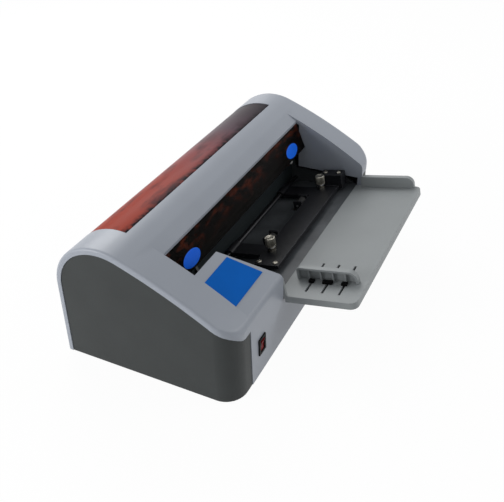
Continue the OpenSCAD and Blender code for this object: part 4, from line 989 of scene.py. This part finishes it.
def oval(place):
    """The dome of one sticker, on the face of the guard. Its rise is the root of one less the
    sixth power of the ring's share, so it is steep only at the rim."""
    inner = np.cos(np.linspace(FIRST_ANGLE, np.pi / 2, OVAL_RINGS))
    share = np.concatenate([[1, 1], inner])[:, None]
    rise = np.concatenate([[0], OVAL_RISE * np.sqrt(1 - share[1:, 0] ** 6)])[:, None]
    angle = np.linspace(0, 2 * np.pi, OVAL_SIDES, endpoint=False)[None, :]
    rings = np.stack([place + OVAL_WIDE * share * np.cos(angle),
                      OVAL_UP + OVAL_HIGH * share * np.sin(angle),
                      OVAL_OUT + rise + 0 * angle], axis=-1)
    return shell(on_guard(rings))


add_piece("domed_ovals", [oval(x) for x in OVAL_X], "guard_ovals")

# %% [markdown]
# ## Screws with a cross recess
# The pan screws under the machine, and the screws on the press frame, have a round head with a
# cross for the driver. The head is a height over a disc: a flat dome, from which the cross takes
# away two crossing grooves that get shallower towards their ends. All its measures but the
# height are shares of the radius, so one shape serves both sizes.

# %% Screw heads
HEAD_SIDES, HEAD_RINGS, RIM_SHARE = 72, 34, 0.995
DOME_FALL = 0.45
GROOVE_HALF, GROOVE_WALL, GROOVE_DEPTH = 0.13, 0.06, 0.75
GROOVE_REACH, GROOVE_FADE = 0.5, 1.3


def groove(radius, along, across):
    """One arm of the cross: one inside its soft walls, fading along it, and zero outside."""
    wall = np.clip((GROOVE_HALF * radius - abs(across)) / (GROOVE_WALL * radius), 0, 1)
    return wall * np.clip(GROOVE_FADE - abs(along) / (GROOVE_REACH * radius), 0, 1)


def pan_head(radius, height, turn):
    """Height over a disc: a dome falling with the fourth power of the radius, less the deeper of
    two crossing grooves."""
    share = np.concatenate([[1, 1], np.linspace(RIM_SHARE, 0, HEAD_RINGS)])[:, None]
    angle = np.linspace(0, 2 * np.pi, HEAD_SIDES, endpoint=False)[None, :]
    x, y = radius * share * np.cos(angle), radius * share * np.sin(angle)
    along, across = x * np.cos(turn) + y * np.sin(turn), y * np.cos(turn) - x * np.sin(turn)
    cross = np.maximum(groove(radius, along, across), groove(radius, across, along))
    rise = height * (1 - DOME_FALL * share ** 4) - GROOVE_DEPTH * height * cross
    rise[0] = 0
    return np.stack([x, y, rise], axis=-1)


print("points on a head:", HEAD_SIDES * (HEAD_RINGS + 2))

# %% [markdown]
# The pan screws point down, so their heads are turned over by a negative height. Each head is
# turned a little further than the last, as no two screws end at the same angle.

# %% Pan screws
PAN_HEAD = {"radius": 4, "height": 1.8}
PAN_HEAD_Z = 4
PAN_FIRST_TURN = 0.3
PAN_SCREWS = [(x, y - MID_Y, PAN_HEAD_Z) for x in (-140.0, 140.0) for y in (30.0, 182.0)]
heads = [pan_head(turn=PAN_FIRST_TURN + k, **PAN_HEAD) * (1, 1, -1) + place
         for k, place in enumerate(PAN_SCREWS)]
add_piece("pan_screw_heads", [shell(rings * MM) for rings in heads], "cover_screws")

# %% [markdown]
# The screws on the press frame hold its arms and its end block. The frame has no part for them,
# so they take no part's place: they only ride with the press frame and are nickel plated.

# %% Press frame screws
PRESS_HEAD = {"radius": 3, "height": 1.6}
PRESS_TOP, BLOCK_TOP = 8.5, 23.5
PRESS_SCREWS = [(-43.5, 50.5, PRESS_TOP), (-43.5, 30, PRESS_TOP), (154, 24.5, BLOCK_TOP),
                (154, 43, BLOCK_TOP)]
heads = [pan_head(turn=k, **PRESS_HEAD) + place for k, place in enumerate(PRESS_SCREWS)]
add_piece("press_screw_heads", [shell(on_bed(rings)) for rings in heads], "press_frame",
          replace=False, slot="nickel")

# %% [markdown]
# ## Dark channels under the tray's slots, as painted shade
# Closed black channels under the tray, in which the clamps' nuts run, stand in for the shade under
# the tray: without them the white floor would show through the slots, and with them the slots look
# dark from above. A channel is a tub: one loop goes up its inner wall, over the rim and down its
# outer wall.

# %% Slot channels
SLOT_Y = (-20.5, -39.0, -58.0)
CHANNEL_X, CHANNEL_HALF, CHANNEL_CORNER = (-82.8, -19.4), 5.3, 3
CHANNEL_WALL, CHANNEL_TOP, CHANNEL_FLOOR = 1.1, -3.45, -7.6
CHANNEL_BASE, CHANNEL_CHAMFER = 1.2, 0.5


def shade_channel(slot_y):
    """Rings of a rounded rectangle: two up the inside, two down the outside, and one drawn in
    at the bottom for a chamfer."""
    x0, x1 = CHANNEL_X
    plan = eased([(x0, -CHANNEL_HALF), (x1, -CHANNEL_HALF), (x1, CHANNEL_HALF),
                  (x0, CHANNEL_HALF)], CHANNEL_CORNER, steps=6, closed=True)
    bottom = CHANNEL_FLOOR - CHANNEL_BASE
    levels = ((0, CHANNEL_FLOOR), (0, CHANNEL_TOP), (-CHANNEL_WALL, CHANNEL_TOP),
              (-CHANNEL_WALL, bottom + CHANNEL_CHAMFER), (CHANNEL_CHAMFER - CHANNEL_WALL, bottom))
    rings = [np.column_stack([drawn_in(plan, inset) + (0, slot_y), np.full(len(plan), z)])
             for inset, z in levels]
    return shell(on_bed(np.stack(rings)))


# The channels are painted shade: dark tubs under the slots, where the real tray has only shade.
add_piece("slot_shade_channels", [shade_channel(y) for y in SLOT_Y], "feed_tray", replace=False,
          slot="switch_black")
